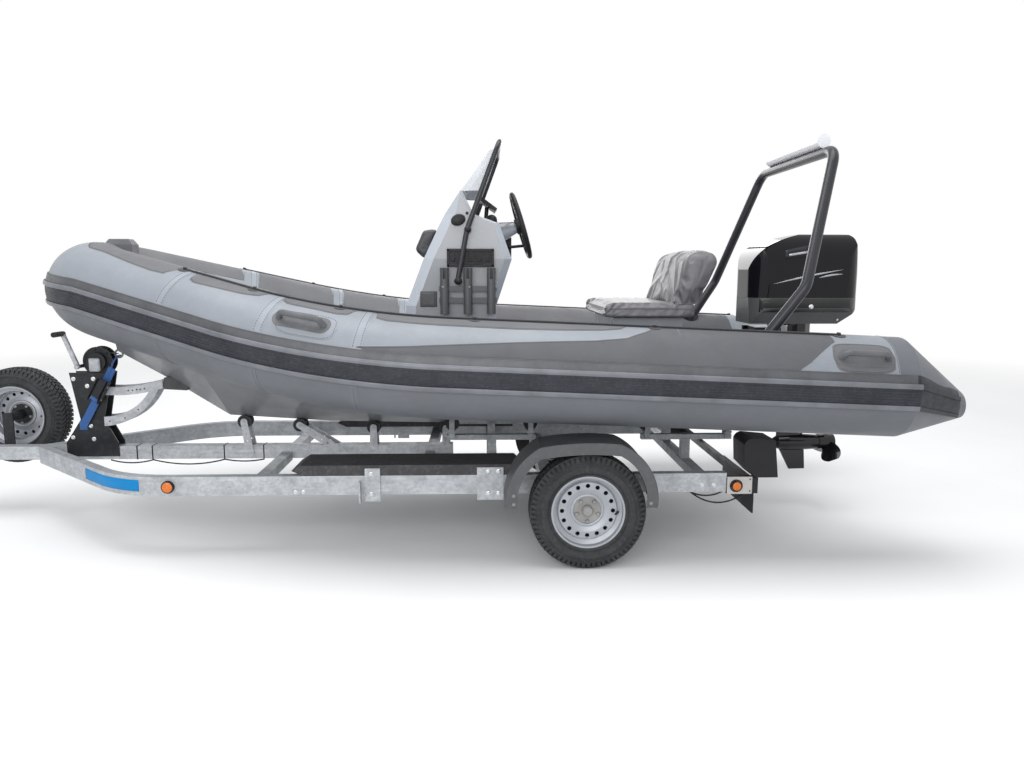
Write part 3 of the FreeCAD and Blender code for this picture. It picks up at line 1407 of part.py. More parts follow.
def cowl_parts():
    """The hood and the lower pan, which meet at a level seam."""
    side = plate("hood_side", "XZ_Plane", [[
        ("cowl_front", "cowl_seam"), ("cowl_front", "cowl_top - 215", "160", -1),
        ("cowl_front - 90", "cowl_top - 72", "800", -1), ("cowl_front - 540", "cowl_top"),
        ("cowl_rear + 75", "cowl_top - 4", "42", -1), ("cowl_rear + 39", "cowl_top - 40"),
        ("cowl_rear", "cowl_seam")]], "2 * cowl_half + 20")
    end = plate("hood_end", "YZ_Plane", [[
        ("-cowl_half", "cowl_seam"), ("cowl_half", "cowl_seam"),
        ("cowl_half - 6", "cowl_top - 170", "170", -1),
        ("cowl_half - 95", "cowl_top - 8", "700", -1), ("-cowl_half + 95", "cowl_top - 8", "170", -1),
        ("-cowl_half + 6", "cowl_top - 170")]], "2 * (cowl_front - cowl_rear)",
        "(cowl_front + cowl_rear) / 2")
    hood = common("motor_cowl", side, end, cowl_plan("hood_plan", "900", "cowl_seam + 440"))
    pan_side = plate("pan_side", "XZ_Plane", [[
        ("cowl_front - 8", "cowl_base"), ("cowl_front - 2", "cowl_seam"), ("cowl_rear + 4", "cowl_seam"),
        ("cowl_rear", "cowl_seam - 55"), ("cowl_rear + 117", "cowl_base")]], "2 * cowl_half + 20")
    pan_end = plate("pan_end", "YZ_Plane", [[
        ("-cowl_half + 60", "cowl_base"), ("cowl_half - 60", "cowl_base"), ("cowl_half", "cowl_seam - 60"),
        ("cowl_half", "cowl_seam"), ("-cowl_half", "cowl_seam"), ("-cowl_half", "cowl_seam - 60")]],
        "2 * (cowl_front - cowl_rear)", "(cowl_front + cowl_rear) / 2")
    pan = common("motor_apron", pan_side, pan_end, cowl_plan("pan_plan", "900", "cowl_seam - 440"))
    return hood, pan


HOOD, PAN = cowl_parts()
piece("motor_cowl", HOOD)
piece("motor_apron", PAN)

# Columns: distance from the shaft, chord, pitch angle from the shaft's line, thickness
BLADE_SECTIONS = ((30, 60, 62, 9), (75, 112, 52, 7), (125, 118, 38, 5), (165, 60, 28, 2.5))


def propeller():
    """A hub with three twisted blades."""
    hub = rod("propeller_boss", "x", "propeller_rear", "0", "shaft_height", "propeller_hub",
              "torpedo_end - seam_gap - propeller_rear")
    tip = size("propeller_radius")
    blades = []
    for number in range(3):
        wires = []
        for reach, chord, pitch, thick in BLADE_SECTIONS:
            reach = min(reach, tip)
            turn = math.radians(pitch)
            along, across = V(math.cos(turn), math.sin(turn), 0), V(-math.sin(turn), math.cos(turn), 0)
            corners = [along * (chord / 2), across * (thick / 2), along * (-chord / 2),
                       across * (-thick / 2)]
            corners = [V(0, 0, reach) + corner for corner in corners]
            wires.append(Part.makePolygon(corners + corners[:1]))
        blade = Part.makeLoft(wires, True, False)
        blade.rotate(V(), V(1, 0, 0), 120 * number)
        blade.translate(V(size("(propeller_rear + torpedo_end) / 2"), 0, size("shaft_height")))
        blades.append(blade)
    return fuse("propeller", hub, solid("blades", Part.makeCompound(blades)))


piece("propeller", propeller())


# Jockey wheel

JOCKEY_Y = "(drawbar_width / 2 + jockey_standoff + jockey_tube_radius)"


def jockey_leg():
    """Outer tube with its crank, clamped beside the drawbar, and the inner tube below it."""
    tube = rod("jockey_tube", "z", "jockey_station", JOCKEY_Y, "rail_base - 30", "jockey_tube_radius",
               "480")
    clamp = box("jockey_clamp", "jockey_station - 45", "drawbar_width / 2", DRAWBAR_BASE,
                "90", "jockey_standoff + jockey_tube_radius", "drawbar_height")
    inner = rod("jockey_inner", "z", "jockey_station", JOCKEY_Y, "fork_top + seam_gap",
                "jockey_tube_radius - 5",
                "rail_base - fork_top")
    y = size(JOCKEY_Y)
    top = size("rail_base + 450")
    crank = bent_tube([V(size("jockey_station"), y, top - 2), V(size("jockey_station"), y, top + 30),
                       V(size("jockey_station"), y + 120, top + 30),
                       V(size("jockey_station"), y + 120, top + 110)],
                      14, 7)
    grip = rod("jockey_grip", "z", "jockey_station", JOCKEY_Y + " + 120", "rail_base + 510", "13", "85")
    return fuse("jockey_leg", tube, clamp, inner, solid("jockey_crank", crank), grip)


def jockey_fork():
    """A crown that turns under the inner tube, with a cheek and a pin end on each side of the wheel."""
    crown = box("fork_crown", "jockey_station - 80", JOCKEY_Y + " - 42", "fork_top - 12", "110", "84", "12")
    cheek = box("fork_cheek", "jockey_station - 68", JOCKEY_Y + " + 34", "jockey_wheel_radius - 20", "46",
                "6",
                "fork_top - jockey_wheel_radius + 15")
    other = box("fork_other", "jockey_station - 68", JOCKEY_Y + " - 40", "jockey_wheel_radius - 20", "46",
                "6",
                "fork_top - jockey_wheel_radius + 15")
    pin = rod("fork_pin", "y", "jockey_station - jockey_trail", JOCKEY_Y + " - 44", "jockey_wheel_radius",
              "jockey_pin", "88")
    return fuse("jockey_fork", crown, cheek, other, pin)


def jockey_wheel():
    """A small wheel with a solid tyre and a waisted web."""
    half = "jockey_wheel_width / 2"
    body = new_body("jockey_wheel")
    profile = sketch(body, "jockey_section", "XY_Plane", [[
        ("jockey_pin + seam_gap", "-" + half), ("24", "-" + half), ("26", "-12"),
        ("jockey_wheel_radius - 34", "-12"),
        ("jockey_wheel_radius - 30", "-22"), ("jockey_wheel_radius - 10", "-26"),
        ("jockey_wheel_radius", "-12"),
        ("jockey_wheel_radius", "12"), ("jockey_wheel_radius - 10", "26"),
        ("jockey_wheel_radius - 30", "22"),
        ("jockey_wheel_radius - 34", "12"), ("26", "12"), ("24", half), ("jockey_pin + seam_gap", half)]])
    revolve(body, "jockey_turned", profile, "V_Axis")
    return place(body, "jockey_station - jockey_trail", JOCKEY_Y, "jockey_wheel_radius")


piece("jockey_leg", jockey_leg())
piece("jockey_fork", jockey_fork())
piece("jockey_wheel", jockey_wheel())


# Coupling head

def coupling():
    """Sleeve on the drawbar, rubber-booted shaft, ball head and its handle."""
    middle = "(rail_base + 60)"
    sleeve = box("coupling_sleeve", "drawbar_front", "-drawbar_width / 2", DRAWBAR_BASE, "90",
                 "drawbar_width", "drawbar_height")
    neck = rod("coupling_neck", "x", "drawbar_front + 90", "0", middle, "26", "100")
    ribs = [rod("boot_rib_%d" % number, "x", "drawbar_front + %d" % (94 + 16 * number), "0", middle, "32",
                "8")
            for number in range(5)]
    head = box("coupling_head_block", "coupling_front - 130", "-34", "rail_base + 30", "130", "68", "62")
    lever = plate("coupling_handle", "XZ_Plane", [[
        ("coupling_front - 110", "rail_base + 91"), ("coupling_front - 30", "rail_base + 91"),
        ("coupling_front - 60", "rail_base + 120"), ("coupling_front - 210", "rail_base + 160"),
        ("coupling_front - 214", "rail_base + 146")]], "40")
    socket = DOC.addObject("Part::Sphere", "ball_socket")
    bind(socket, Radius="ball_socket_radius")
    place(socket, "coupling_front - 42", "0", "rail_base + 40")
    throat = rod("ball_throat", "z", "coupling_front - 42", "0", "rail_base", "ball_socket_radius", "40")
    return cut("coupling_head", fuse("coupling_whole", sleeve, neck, head, lever, *ribs), socket, throat)


piece("coupling_head", coupling())


# Winch post, winch, straps

def winch_post():
    """Two waisted plates on the drawbar with a spacer between their tops."""
    body = plate("post_plate_side", "XZ_Plane", [[
        ("post_foot_rear", "rail_base + 40"), ("post_foot_front", "rail_base + 40"),
        ("post_foot_front", "rail_base + 124"), ("post_waist_front", "post_waist"),
        ("post_top_front", "post_top"),
        ("post_top_rear", "post_top"), ("post_waist_rear", "post_waist"),
        ("post_foot_rear", "rail_base + 124")]], "post_plate")
    port = place(body, y="drawbar_width / 2 + post_plate / 2")
    spacer = box("post_spacer", "post_top_rear + 30", "-drawbar_width / 2", "post_top - 46", "180",
                 "drawbar_width",
                 "24")
    return fuse("winch_post", port, mirrored("post_mirror", port), spacer)


piece("winch_post", winch_post())


def winch():
    """Drum between two round cheeks, gear cover, crank with its grip and the taut winch strap."""
    level = "(post_top + winch_radius - 20)"
    inner, cheek = size("drawbar_width / 2 - seam_gap"), size("winch_cheek")
    x, z = size("winch_station"), size(level)
    start = inner - cheek
    drum = Part.makeCylinder(size("winch_radius") - 26, 2 * start, V(x, -start, z), V(0, 1, 0))
    cheeks = [Part.makeCylinder(size("winch_radius"), cheek, V(x, y, z), V(0, 1, 0))
              for y in (-inner, start)]
    cover = Part.makeCylinder(54, 24, V(x, inner, z), V(0, 1, 0))
    foot = Part.makeBox(110, 2 * inner, 46, V(x - 55, -inner, size("post_top - 22")))
    web = Part.makeBox(92, 8, 20, V(x, inner, z - 35))
    shaft = Part.makeCylinder(10, 66, V(x + 86, inner, z - 25), V(0, 1, 0))
    crank = bent_tube([V(x + 86, inner + 60, z - 25), V(x + 158, inner + 60, z + 168)], 10, 8)
    grip = Part.makeCylinder(14, 105, V(x + 158, inner + 48, z + 168), V(0, 1, 0))
    eye = bow_eye_centre()
    off_drum = V(x, 0, z + 56)
    reach = V(eye.x + 8, 0, eye.z) - off_drum
    length = reach.Length
    line = set_at(Part.makeBox(length, 34, 4, V(0, -17, -2)), off_drum, reach, V(reach.z, 0, -reach.x))
    ring = Part.makeTorus(size("eye_radius"), size("eye_wire + seam_gap"), eye, V(0, 1, 0))
    return solid("winch", drum.multiFuse(cheeks + [cover, foot, web, shaft, crank, grip,
                                                   line.cut(ring).Solids[0]]))


piece("winch", winch())


def bow_strap():
    """A taut strap beside the post, from its foot to the towing eye, with a ratchet on its way."""
    eye, side = bow_eye_centre(), size("drawbar_width / 2 + post_plate")
    thick, width = size("strap_thick"), size("strap_width")
    middle = side + size("strap_standoff") + thick / 2
    low, high = V(size("strap_station"), middle, size("strap_height")), V(eye.x + 16, middle, eye.z - 80)
    length, along = (high - low).Length, (high - low).normalize()
    band = set_at(Part.makeBox(length, width, thick, V(0, -width / 2, -thick / 2)), low, along, V(0, 1, 0))
    ratchet = Part.makeBox(120, 60, 38, V(length - 210, -30, thick / 2))
    anchor = Part.makeBox(44, size("strap_standoff"), 50, V(low.x - 22, side, low.z - 25))
    bar = size("strap_hook")
    level = eye.z - size("eye_radius - eye_wire - seam_gap") + bar
    hook = bent_tube([high - along * 30, V(high.x, middle - 6, high.z + 30), V(eye.x, 24, level),
                      V(eye.x, -16, level)], 12, bar)
    parts = [set_at(ratchet, low, along, V(0, 1, 0)), anchor, hook]
    return solid("bow_strap", band.multiFuse(parts))


piece("bow_strap", bow_strap())


# Lamps, number plate board and brackets

def trailer_lamps():
    """A rear cluster on an arm at each rail end, an amber lamp on the arm and one on the rail's curve."""
    housing = place(plate("lamp_housing", "XZ_Plane", [[
        ("rail_rear - 150", "rail_base + 75"), ("rail_rear - 95", "rail_base + 130"),
        ("rail_rear - 88", "rail_base + 250", "48", -1), ("rail_rear - 128", "rail_base + 284"),
        ("rail_rear - 250", "rail_base + 272"), ("rail_rear - 271", "rail_base + 75")]], "190"), y="655")
    arm = box("lamp_arm", "rail_rear - 165", "rail_outer - rail_width", "rail_base - 8", "165", "56", "83")
    amber = rod("lamp_amber", "y", "rail_rear - 50", "rail_outer + 6", "rail_base + 34", "26", "14")
    rear = fuse("lamp_whole", housing, arm, amber)
    marker = rod("lamp_marker", "y", "marker_station", "rail_outer", "rail_base + rail_height / 2",
                 "marker_radius",
                 "14")
    return group("trailer_lamps", rear, marker, mirrored("lamp_mirror", rear),
                 mirrored("marker_mirror", marker))


piece("trailer_lamps", trailer_lamps())
piece("plate_board", fuse(
    "plate_board",
    box("board_bar", "rail_rear - 165", "-(rail_outer - rail_width)", "rail_base + 10", "30",
        "2 * (rail_outer - rail_width)", "40"),
    box("board_sheet", "rail_rear - 173", "160", "190", "8", "520", "190")))


def rail_brackets():
    """Angle plates on the outer face of the rails where the walkway and the axle are bolted."""
    front = box("bracket_front", "-94", "rail_outer", "rail_base - 34", "78", "8", "174")
    lip = box("bracket_lip", "4", "rail_outer", "rail_base - 34", "8", "38", "110")
    rear = box("bracket_rear", "-726", "rail_outer", "rail_base - 30", "136", "8", "171")
    parts = []
    for number, thing in enumerate((front, lip, rear)):
        parts += [thing, mirrored("bracket_mirror_%d" % number, thing)]
    return group("rail_brackets", *parts)


piece("rail_brackets", rail_brackets())


# Rollers under the keel
# Columns: place along the drawbar, lean of the arms' feet behind the roller
KEEL_ROLLERS = (("809", 30), ("480", 270), ("40", 0), ("-395", 0))


def waisted_roller(centre, tilt):
    """A roller whose middle is slimmer than its ends, on a bore for its pin."""
    radius, waist, half = size("roller_radius"), size("roller_waist"), size("roller_length / 2")
    bore = size("roller_pin + seam_gap")
    outline = [V(0, -half, bore), V(0, -half, radius), V(0, -half + 10, radius), V(0, 0, waist),
               V(0, half - 10, radius), V(0, half, radius), V(0, half, bore)]
    shape = Part.Face(Part.makePolygon(outline + outline[:1])).revolve(V(), V(0, 1, 0), 360)
    shape.rotate(V(), V(1, 0, 0), tilt)
    shape.translate(centre)
    return shape


def keel_stands():
    """Pairs of drilled arms on the drawbar's sides, joined by the pin of their roller."""
    stands, rollers = [], []
    side, foot = size("drawbar_width") / 2, size(DRAWBAR_BASE)
    arm_half, sheet = size("stand_arm / 2"), size("stand_sheet")
    for station, lean in KEEL_ROLLERS:
        x = size(station)
        z = keel_at(x) - size("roller_waist + seam_gap")
        base, top = V(x - lean, side, foot + arm_half), V(x, side, z)
        up = (top - base).normalize()
        across = V(up.z, 0, -up.x)
        arm = Part.makePolygon([base - across * arm_half, base + across * arm_half,
                                top + across * arm_half * 0.8,
                                top - across * arm_half * 0.8, base - across * arm_half])
        arm = Part.Face(arm).extrude(V(0, sheet, 0))
        arm = arm.fuse(Part.makeCylinder(arm_half * 0.8, sheet, top, V(0, 1, 0)))
        run = (top - base).Length
        for number in range(1, int(run / 42)):
            spot = base + up * (42 * number)
            if spot.z > size("rail_base + rail_height") + 10 and (top - spot).Length > 25:
                arm = arm.cut(Part.makeCylinder(5, sheet, spot, V(0, 1, 0)))
        pin = Part.makeCylinder(size("roller_pin"), 2 * side + 24, V(x, -side - 12, z), V(0, 1, 0))
        stands.append(arm.fuse(arm.mirror(V(), V(0, 1, 0))).fuse(pin))
        rollers.append(waisted_roller(V(x, 0, z), 0))
    return stands, rollers


# Columns: cross member that carries the post, front roller, rear roller
CRADLES = (("cross_rear", "-1570", "-2040"), ("cross_cradle", "-442", "-894"))


def side_cradle(post_station, front, rear):
    """A rocker beam on a post of a cross member, with a tilted roller at each end."""
    half, front, rear = size("cradle_half"), size(front), size(rear)
    length, pin_radius = size("roller_length"), size("roller_pin")
    mean = (front + rear) / 2
    height = keel_at(mean) + half * math.tan(math.radians(size("deadrise"))) - size(
        "(roller_radius + seam_gap) / cos(deadrise)") - size("cradle_slack")
    beam_top = height - 66
    beam = Part.makeBox(front - rear + 60, 40, 30, V(rear - 30, half - 20, beam_top - 30))
    foot = size("rail_base + cross_lift + cross_height")
    post = Part.makeBox(50, 50, beam_top - 25 - foot, V(size(post_station) - 25, half - 25, foot))
    whole = beam.fuse(post)
    rollers = []
    for x in (front, rear):
        cheek = Part.makeBox(30, 5, 76, V(-15, length / 2 + 1, -60))
        other = Part.makeBox(30, 5, 76, V(-15, -length / 2 - 6, -60))
        base = Part.makeBox(40, length + 12, 8, V(-20, -length / 2 - 6, -66))
        stem = Part.makeBox(30, 30, 30, V(-15, -15, -90))
        pin = Part.makeCylinder(pin_radius, length + 24, V(0, -length / 2 - 12, 0), V(0, 1, 0))
        fork = cheek.fuse([other, base, stem, pin])
        fork.rotate(V(), V(1, 0, 0), size("deadrise"))
        fork.translate(V(x, half, height))
        roller = Part.makeCylinder(size("roller_radius"), length, V(0, -length / 2, 0), V(0, 1, 0))
        roller = roller.cut(Part.makeCylinder(pin_radius + size("seam_gap"), length, V(0, -length / 2, 0),
                                              V(0, 1, 0)))
        roller.rotate(V(), V(1, 0, 0), size("deadrise"))
        roller.translate(V(x, half, height))
        whole = whole.fuse(fork)
        rollers.append(roller)
    return whole, rollers


def boat_rollers():
    stands, wheels = keel_stands()
    cradles = []
    for row in CRADLES:
        cradle, tilted = side_cradle(*row)
        cradles += [cradle, cradle.mirror(V(), V(0, 1, 0))]
        wheels += tilted + [roller.mirror(V(), V(0, 1, 0)) for roller in tilted]
    piece("keel_roller_stands", solid("keel_roller_stands", Part.makeCompound(stands)))
    piece("side_cradles", solid("side_cradles", Part.makeCompound(cradles)))
    piece("boat_rollers", solid("boat_rollers", Part.makeCompound(wheels)))


boat_rollers()


# Bow stop

def bow_stop():
    """Two curved bars on the winch post and a notched rubber block that takes the stem."""
    width = "(drawbar_width + 2 * post_plate + 2 * stop_bar)"
    block = plate("snubber_block", "XZ_Plane", [[
        ("1112", "795"), ("1124", "768"), ("1262", "776"), ("1268", "800"), ("1258", "845"),
        ("1160", "862")]], width)
    round_edges(block, "snubber_round", "9", lambda spot, along: abs(along.y) > 0.9)
    space = solid("stem_space", HULL_SPACE.Shape.translated(V(0, 0, -2 * size("seam_gap"))))
    piece("bow_snubber", cut("bow_snubber", block, space))
    y = "drawbar_width / 2 + post_plate + stop_bar / 2"
    upper = plate("stop_upper", "XZ_Plane", [[
        ("1268.3", "782", "900", -1), ("1590", "742"), ("1622", "742"), ("1622", "790"),
        ("1590", "790", "900", 1),
        ("1262", "836"), ("1268.3", "800")]], "stop_bar")
    lower = plate("stop_lower", "XZ_Plane", [[
        ("1335", "790", "320", -1), ("1622", "612"), ("1622", "556", "372", 1), ("1290", "790")]],
        "stop_bar")
    port = fuse("stop_port", place(upper, y=y), place(lower, y=y))
    trimmed = cut("stop_trimmed", port, BLOCK_SPACE)
    piece("snubber_arms", group("snubber_arms", trimmed, mirrored("stop_mirror", trimmed)))


BLOCK_SPACE = plate("block_space", "XZ_Plane", [[
    ("1050", "700"), ("1268.3", "700"), ("1268.3", "900"), ("1050", "900")]], "400")
bow_stop()


# Spare wheel

def spare():
    """The spare stands on the drawbar's starboard side, its dished face outward."""
    middle = "-(spare_inboard + tyre_width / 2)"
    face = middle + " - disc_offset + 8 + seam_gap"
    for label, maker in (("spare_tyre", tyre_body), ("spare_rim", rim_body)):
        body = maker(label)
        place(body, "spare_station", middle, "spare_height", ((0, 0, 1), 180))
        piece(label, body)
    upright = box("spare_upright", "spare_station - 30", "-drawbar_width / 2 - 10", DRAWBAR_BASE, "60",
                  "10",
                  "spare_height + 30 - (%s)" % DRAWBAR_BASE)
    arm = rod("spare_arm", "y", "spare_station", face, "spare_height", "27",
              "spare_inboard + tyre_width / 2 + disc_offset - 8 - seam_gap - drawbar_width / 2 - 5")
    flange = rod("spare_flange", "y", "spare_station", face, "spare_height", "62", "8")
    piece("spare_carrier", fuse("spare_carrier", upright, arm, flange))


spare()


def check_objects():
    """Stops where any object failed or any piece is empty or invalid."""
    DOC.recompute()
    for thing in DOC.Objects:
        if "Invalid" in thing.State or "Error" in thing.State:
            raise ValueError("%s is %s" % (thing.Name, thing.State))
    for thing in PIECES:
        shape = thing.Shape
        if shape.isNull() or not shape.isValid() or not shape.Solids:
            raise ValueError("%s has no valid solid" % thing.Label)


def write_pieces():
    os.makedirs("parts", exist_ok=True)
    for thing in PIECES:
        thing.Shape.exportStep("parts/%s.step" % thing.Label)
        bounds = thing.Shape.optimalBoundingBox(False, False)
        print("%-22s solids %2d  x %6.0f %6.0f  y %6.0f %6.0f  z %6.0f %6.0f" % (
            thing.Label, len(thing.Shape.Solids), bounds.XMin, bounds.XMax, bounds.YMin, bounds.YMax,
            bounds.ZMin, bounds.ZMax))


check_objects()
write_pieces()
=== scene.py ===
import math

import bmesh
import bpy
from mathutils import Matrix, Vector
from mathutils.bvhtree import BVHTree

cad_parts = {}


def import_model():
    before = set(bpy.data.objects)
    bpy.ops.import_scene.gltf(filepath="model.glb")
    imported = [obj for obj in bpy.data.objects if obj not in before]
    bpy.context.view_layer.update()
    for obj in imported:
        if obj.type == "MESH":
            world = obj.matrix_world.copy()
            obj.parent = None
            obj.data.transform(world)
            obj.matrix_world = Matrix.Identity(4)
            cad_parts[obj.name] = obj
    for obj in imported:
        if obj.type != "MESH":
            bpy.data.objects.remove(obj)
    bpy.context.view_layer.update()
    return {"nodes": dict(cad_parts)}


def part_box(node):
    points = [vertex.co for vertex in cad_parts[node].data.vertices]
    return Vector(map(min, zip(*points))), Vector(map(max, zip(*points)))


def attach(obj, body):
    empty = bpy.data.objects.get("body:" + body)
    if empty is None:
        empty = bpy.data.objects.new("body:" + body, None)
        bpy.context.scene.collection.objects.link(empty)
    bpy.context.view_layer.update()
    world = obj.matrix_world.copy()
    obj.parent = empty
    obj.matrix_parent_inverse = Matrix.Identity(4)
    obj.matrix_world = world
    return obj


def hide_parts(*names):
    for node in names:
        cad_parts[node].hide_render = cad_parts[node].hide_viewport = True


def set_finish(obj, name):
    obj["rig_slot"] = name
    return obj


bpy.ops.wm.read_factory_settings(use_empty=True)
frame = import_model()
SCENE = bpy.context.scene
NODES = frame["nodes"]
ROOT = "boat_and_trailer"
AHEAD, PORT, UP = (1, 0, 0), (0, 1, 0), (0, 0, 1)


# Materials

class Nodes:
    """A short way to write a material's nodes."""

    def __init__(self, name, **values):
        self.mat = bpy.data.materials.new(name)
        self.mat.use_nodes = True
        self.tree = self.mat.node_tree
        self.bsdf = self.tree.nodes["Principled BSDF"]
        self.coords = self.tree.nodes.new("ShaderNodeTexCoord").outputs["Object"]
        for key, value in values.items():
            self.bsdf.inputs[key.replace("_", " ")].default_value = value

    def put(self, kind, links, sets=None, out=0, **props):
        node = self.tree.nodes.new(kind)
        for key, value in props.items():
            setattr(node, key, value)
        for key, value in (sets or {}).items():
            node.inputs[key].default_value = value
        for key, value in links.items():
            self.tree.links.new(value, node.inputs[key])
        return node.outputs[out]

    def mapped(self, key, value):
        return self.put("ShaderNodeMapping", {"Vector": self.coords}, {key: value})

    def noise(self, scale, detail=4.0, rough=0.55, vector=None):
        return self.put("ShaderNodeTexNoise", {"Vector": vector or self.coords},
                        {"Scale": scale, "Detail": detail, "Roughness": rough})

    def voronoi(self, scale, out="Distance", feature="F1"):
        return self.put("ShaderNodeTexVoronoi", {"Vector": self.coords}, {"Scale": scale}, out,
                        feature=feature)

    def wave(self, scale, axis, vector=None):
        return self.put("ShaderNodeTexWave", {"Vector": vector or self.coords}, {"Scale": scale}, "Fac",
                        bands_direction=axis)

    def ramp(self, value, low, high, start=0.0, end=1.0):
        return self.put("ShaderNodeMapRange", {"Value": value},
                        {"From Min": start, "From Max": end, "To Min": low, "To Max": high})

    def math(self, kind, first, second):
        return self.put("ShaderNodeMath", {0: first, 1: second}, operation=kind)

    def mix(self, factor, first, second):
        node = self.tree.nodes.new("ShaderNodeMix")
        node.data_type = "RGBA"
        self.tree.links.new(factor, node.inputs[0])
        for socket, colour in ((node.inputs[6], first), (node.inputs[7], second)):
            if isinstance(colour, tuple):
                socket.default_value = colour + (1,)
            else:
                self.tree.links.new(colour, socket)
        return node.outputs[2]

    def colour(self, value):
        self.tree.links.new(value, self.bsdf.inputs["Base Color"])

    def rough(self, value):
        self.tree.links.new(value, self.bsdf.inputs["Roughness"])

    def uneven(self, rough, scale, detail, less=0.85, more=1.15):
        """Roughness that drifts about a value."""
        self.rough(self.ramp(self.noise(scale, detail), rough * less, min(1.0, rough * more), 0.3, 0.7))

    def bump(self, height, distance, strength, under=None):
        """A bump, over the one made before it where that is given."""
        links = {"Height": height}
        if under:
            links["Normal"] = under
        made = self.put("ShaderNodeBump", links, {"Strength": strength, "Distance": distance})
        self.tree.links.new(made, self.bsdf.inputs["Normal"])
        return made


def tone(colour, factor):
    return tuple(min(1.0, part * factor) for part in colour)


def worn(nodes, colour, spread, scale, dust=None, dust_amount=0.25):
    """The colour with soft blotches, and dust gathered in patches."""
    blotch = nodes.ramp(nodes.noise(scale), 0, 1, 0.3, 0.7)
    base = nodes.mix(blotch, tone(colour, 1 - spread), tone(colour, 1 + spread))
    if dust:
        speck = nodes.ramp(nodes.noise(scale * 7, 6), 0, dust_amount, 0.5, 0.8)
        base = nodes.mix(speck, base, dust)
    nodes.colour(base)
    return base


def galvanised():
    """Hot-dipped zinc: flaked spangle, clouds and pale runs."""
    n = Nodes("galvanised_steel", Metallic=0.35)
    grey = n.put("ShaderNodeSeparateColor", {0: n.voronoi(70, "Color")})
    cloud = n.noise(13, 6, 0.65)
    fine = n.noise(55, 5, 0.7)
    streak = n.noise(16, 5, vector=n.mapped("Scale", (0.35, 1, 4)))
    tint = n.mix(n.ramp(grey, 0, 0.7), (0.37, 0.387, 0.41), (0.53, 0.55, 0.575))
    tint = n.mix(n.ramp(cloud, 0, 0.75, 0.42, 0.68), tint, (0.29, 0.30, 0.315))
    tint = n.mix(n.ramp(fine, 0, 0.45, 0.5, 0.75), tint, (0.56, 0.57, 0.585))
    tint = n.mix(n.ramp(streak, 0, 0.6, 0.55, 0.72), tint, (0.58, 0.595, 0.61))
    n.colour(tint)
    n.rough(n.ramp(cloud, 0.42, 0.66, 0.3, 0.7))
    n.bump(fine, 0.0009, 0.6)
    return n.mat


def painted(name, colour, rough, metallic, grain, depth, spread, dust=None, coat=0.0):
    n = Nodes(name, Metallic=metallic, Coat_Weight=coat)
    worn(n, colour, spread, 5, dust)
    n.uneven(rough, 14, 4)
    n.bump(n.noise(grain, 3), depth, 0.4)
    return n.mat


def coated_fabric(name, colour, rough, texture="weave"):
    """Rubber-coated cloth: a faint weave, creases and rubbed spots."""
    n = Nodes(name)
    worn(n, colour, 0.07, 3.5, tone(colour, 1.25), 0.3)
    n.uneven(rough, 8, 3)
    if texture == "ribbed":
        first = n.bump(n.wave(80, "Z"), 0.0012, 0.5)
        n.bump(n.noise(30, 2), 0.0015, 0.25, first)
    elif texture == "grained":
        first = n.bump(n.voronoi(240), 0.0012, 0.8)
        n.bump(n.noise(11, 2), 0.002, 0.3, first)
    else:
        first = n.bump(n.math("MULTIPLY", n.wave(260, "X"), n.wave(260, "Z")), 0.0003, 0.4)
        n.bump(n.noise(5, 2), 0.004, 0.35, first)
    return n.mat


def rubber(name, colour, rough, scale):
    n = Nodes(name)
    worn(n, colour, 0.2, 9, (0.16, 0.16, 0.155), 0.22)
    n.uneven(rough, 20, 3, 0.8, 1.2)
    n.bump(n.noise(scale, 4), 0.0006, 0.5)
    return n.mat


def vinyl(name, colour):
    """Seat vinyl: fine leather grain over broad sags."""
    n = Nodes(name)
    worn(n, colour, 0.1, 4)
    cells = n.voronoi(330, feature="SMOOTH_F1")
    first = n.bump(cells, 0.0008, 0.55)
    n.bump(n.noise(16, 4), 0.0015, 0.4, first)
    n.rough(n.ramp(cells, 0.36, 0.5))
    return n.mat


def webbing(name, colour):
    n = Nodes(name, Roughness=0.75, Sheen_Weight=0.3)
    turned = n.mapped("Rotation", (0, math.radians(-68), 0))
    weave = n.math("MAXIMUM", n.wave(110, "X", turned), n.wave(160, "Z", turned))
    n.colour(n.mix(weave, tone(colour, 0.6), tone(colour, 1.2)))
    n.bump(weave, 0.0008, 0.8)
    return n.mat


def braid(name, colour):
    n = Nodes(name, Roughness=0.8, Sheen_Weight=0.2)
    strands = [n.wave(75, "X", n.mapped("Rotation", (0, lean, 0))) for lean in (0.9, -0.9)]
    weave = n.math("MAXIMUM", *strands)
    n.colour(n.mix(weave, tone(colour, 0.5), tone(colour, 1.6)))
    n.bump(weave, 0.0015, 0.9)
    return n.mat


def gelcoat(name, colour, rough=0.22, coat=0.4, painted_highlight=None):
    """Gloss resin. Where a painted highlight colour is given, it is mixed onto the faces that look forward or
    aft, standing in for the sheen of light on them.
    """
    n = Nodes(name, Coat_Weight=coat)
    base = worn(n, colour, 0.04, 3, tone(colour, 0.8), 0.2)
    if painted_highlight:
        # Painted highlight: faces whose normal points forward or aft take the lighter colour, as if lit
        facing = n.put("ShaderNodeSeparateXYZ", {0: n.put("ShaderNodeNewGeometry", {}, out="True Normal")})
        turned = n.math("MAXIMUM", n.ramp(facing, 0, 1, 0.20, 0.30), n.ramp(facing, 1, 0, -0.30, -0.20))
        n.colour(n.mix(turned, base, painted_highlight))
    n.uneven(rough, 6, 4, 0.8, 1.4)
    n.bump(n.noise(3, 2), 0.002, 0.2)
    return n.mat


def lens(name, colour):
    """A moulded lamp lens with small prisms."""
    n = Nodes(name, Roughness=0.15, Coat_Weight=0.35)
    cells = n.voronoi(230)
    n.colour(n.mix(cells, tone(colour, 1.15), tone(colour, 0.6)))
    n.bump(cells, 0.0015, 0.7)
    return n.mat


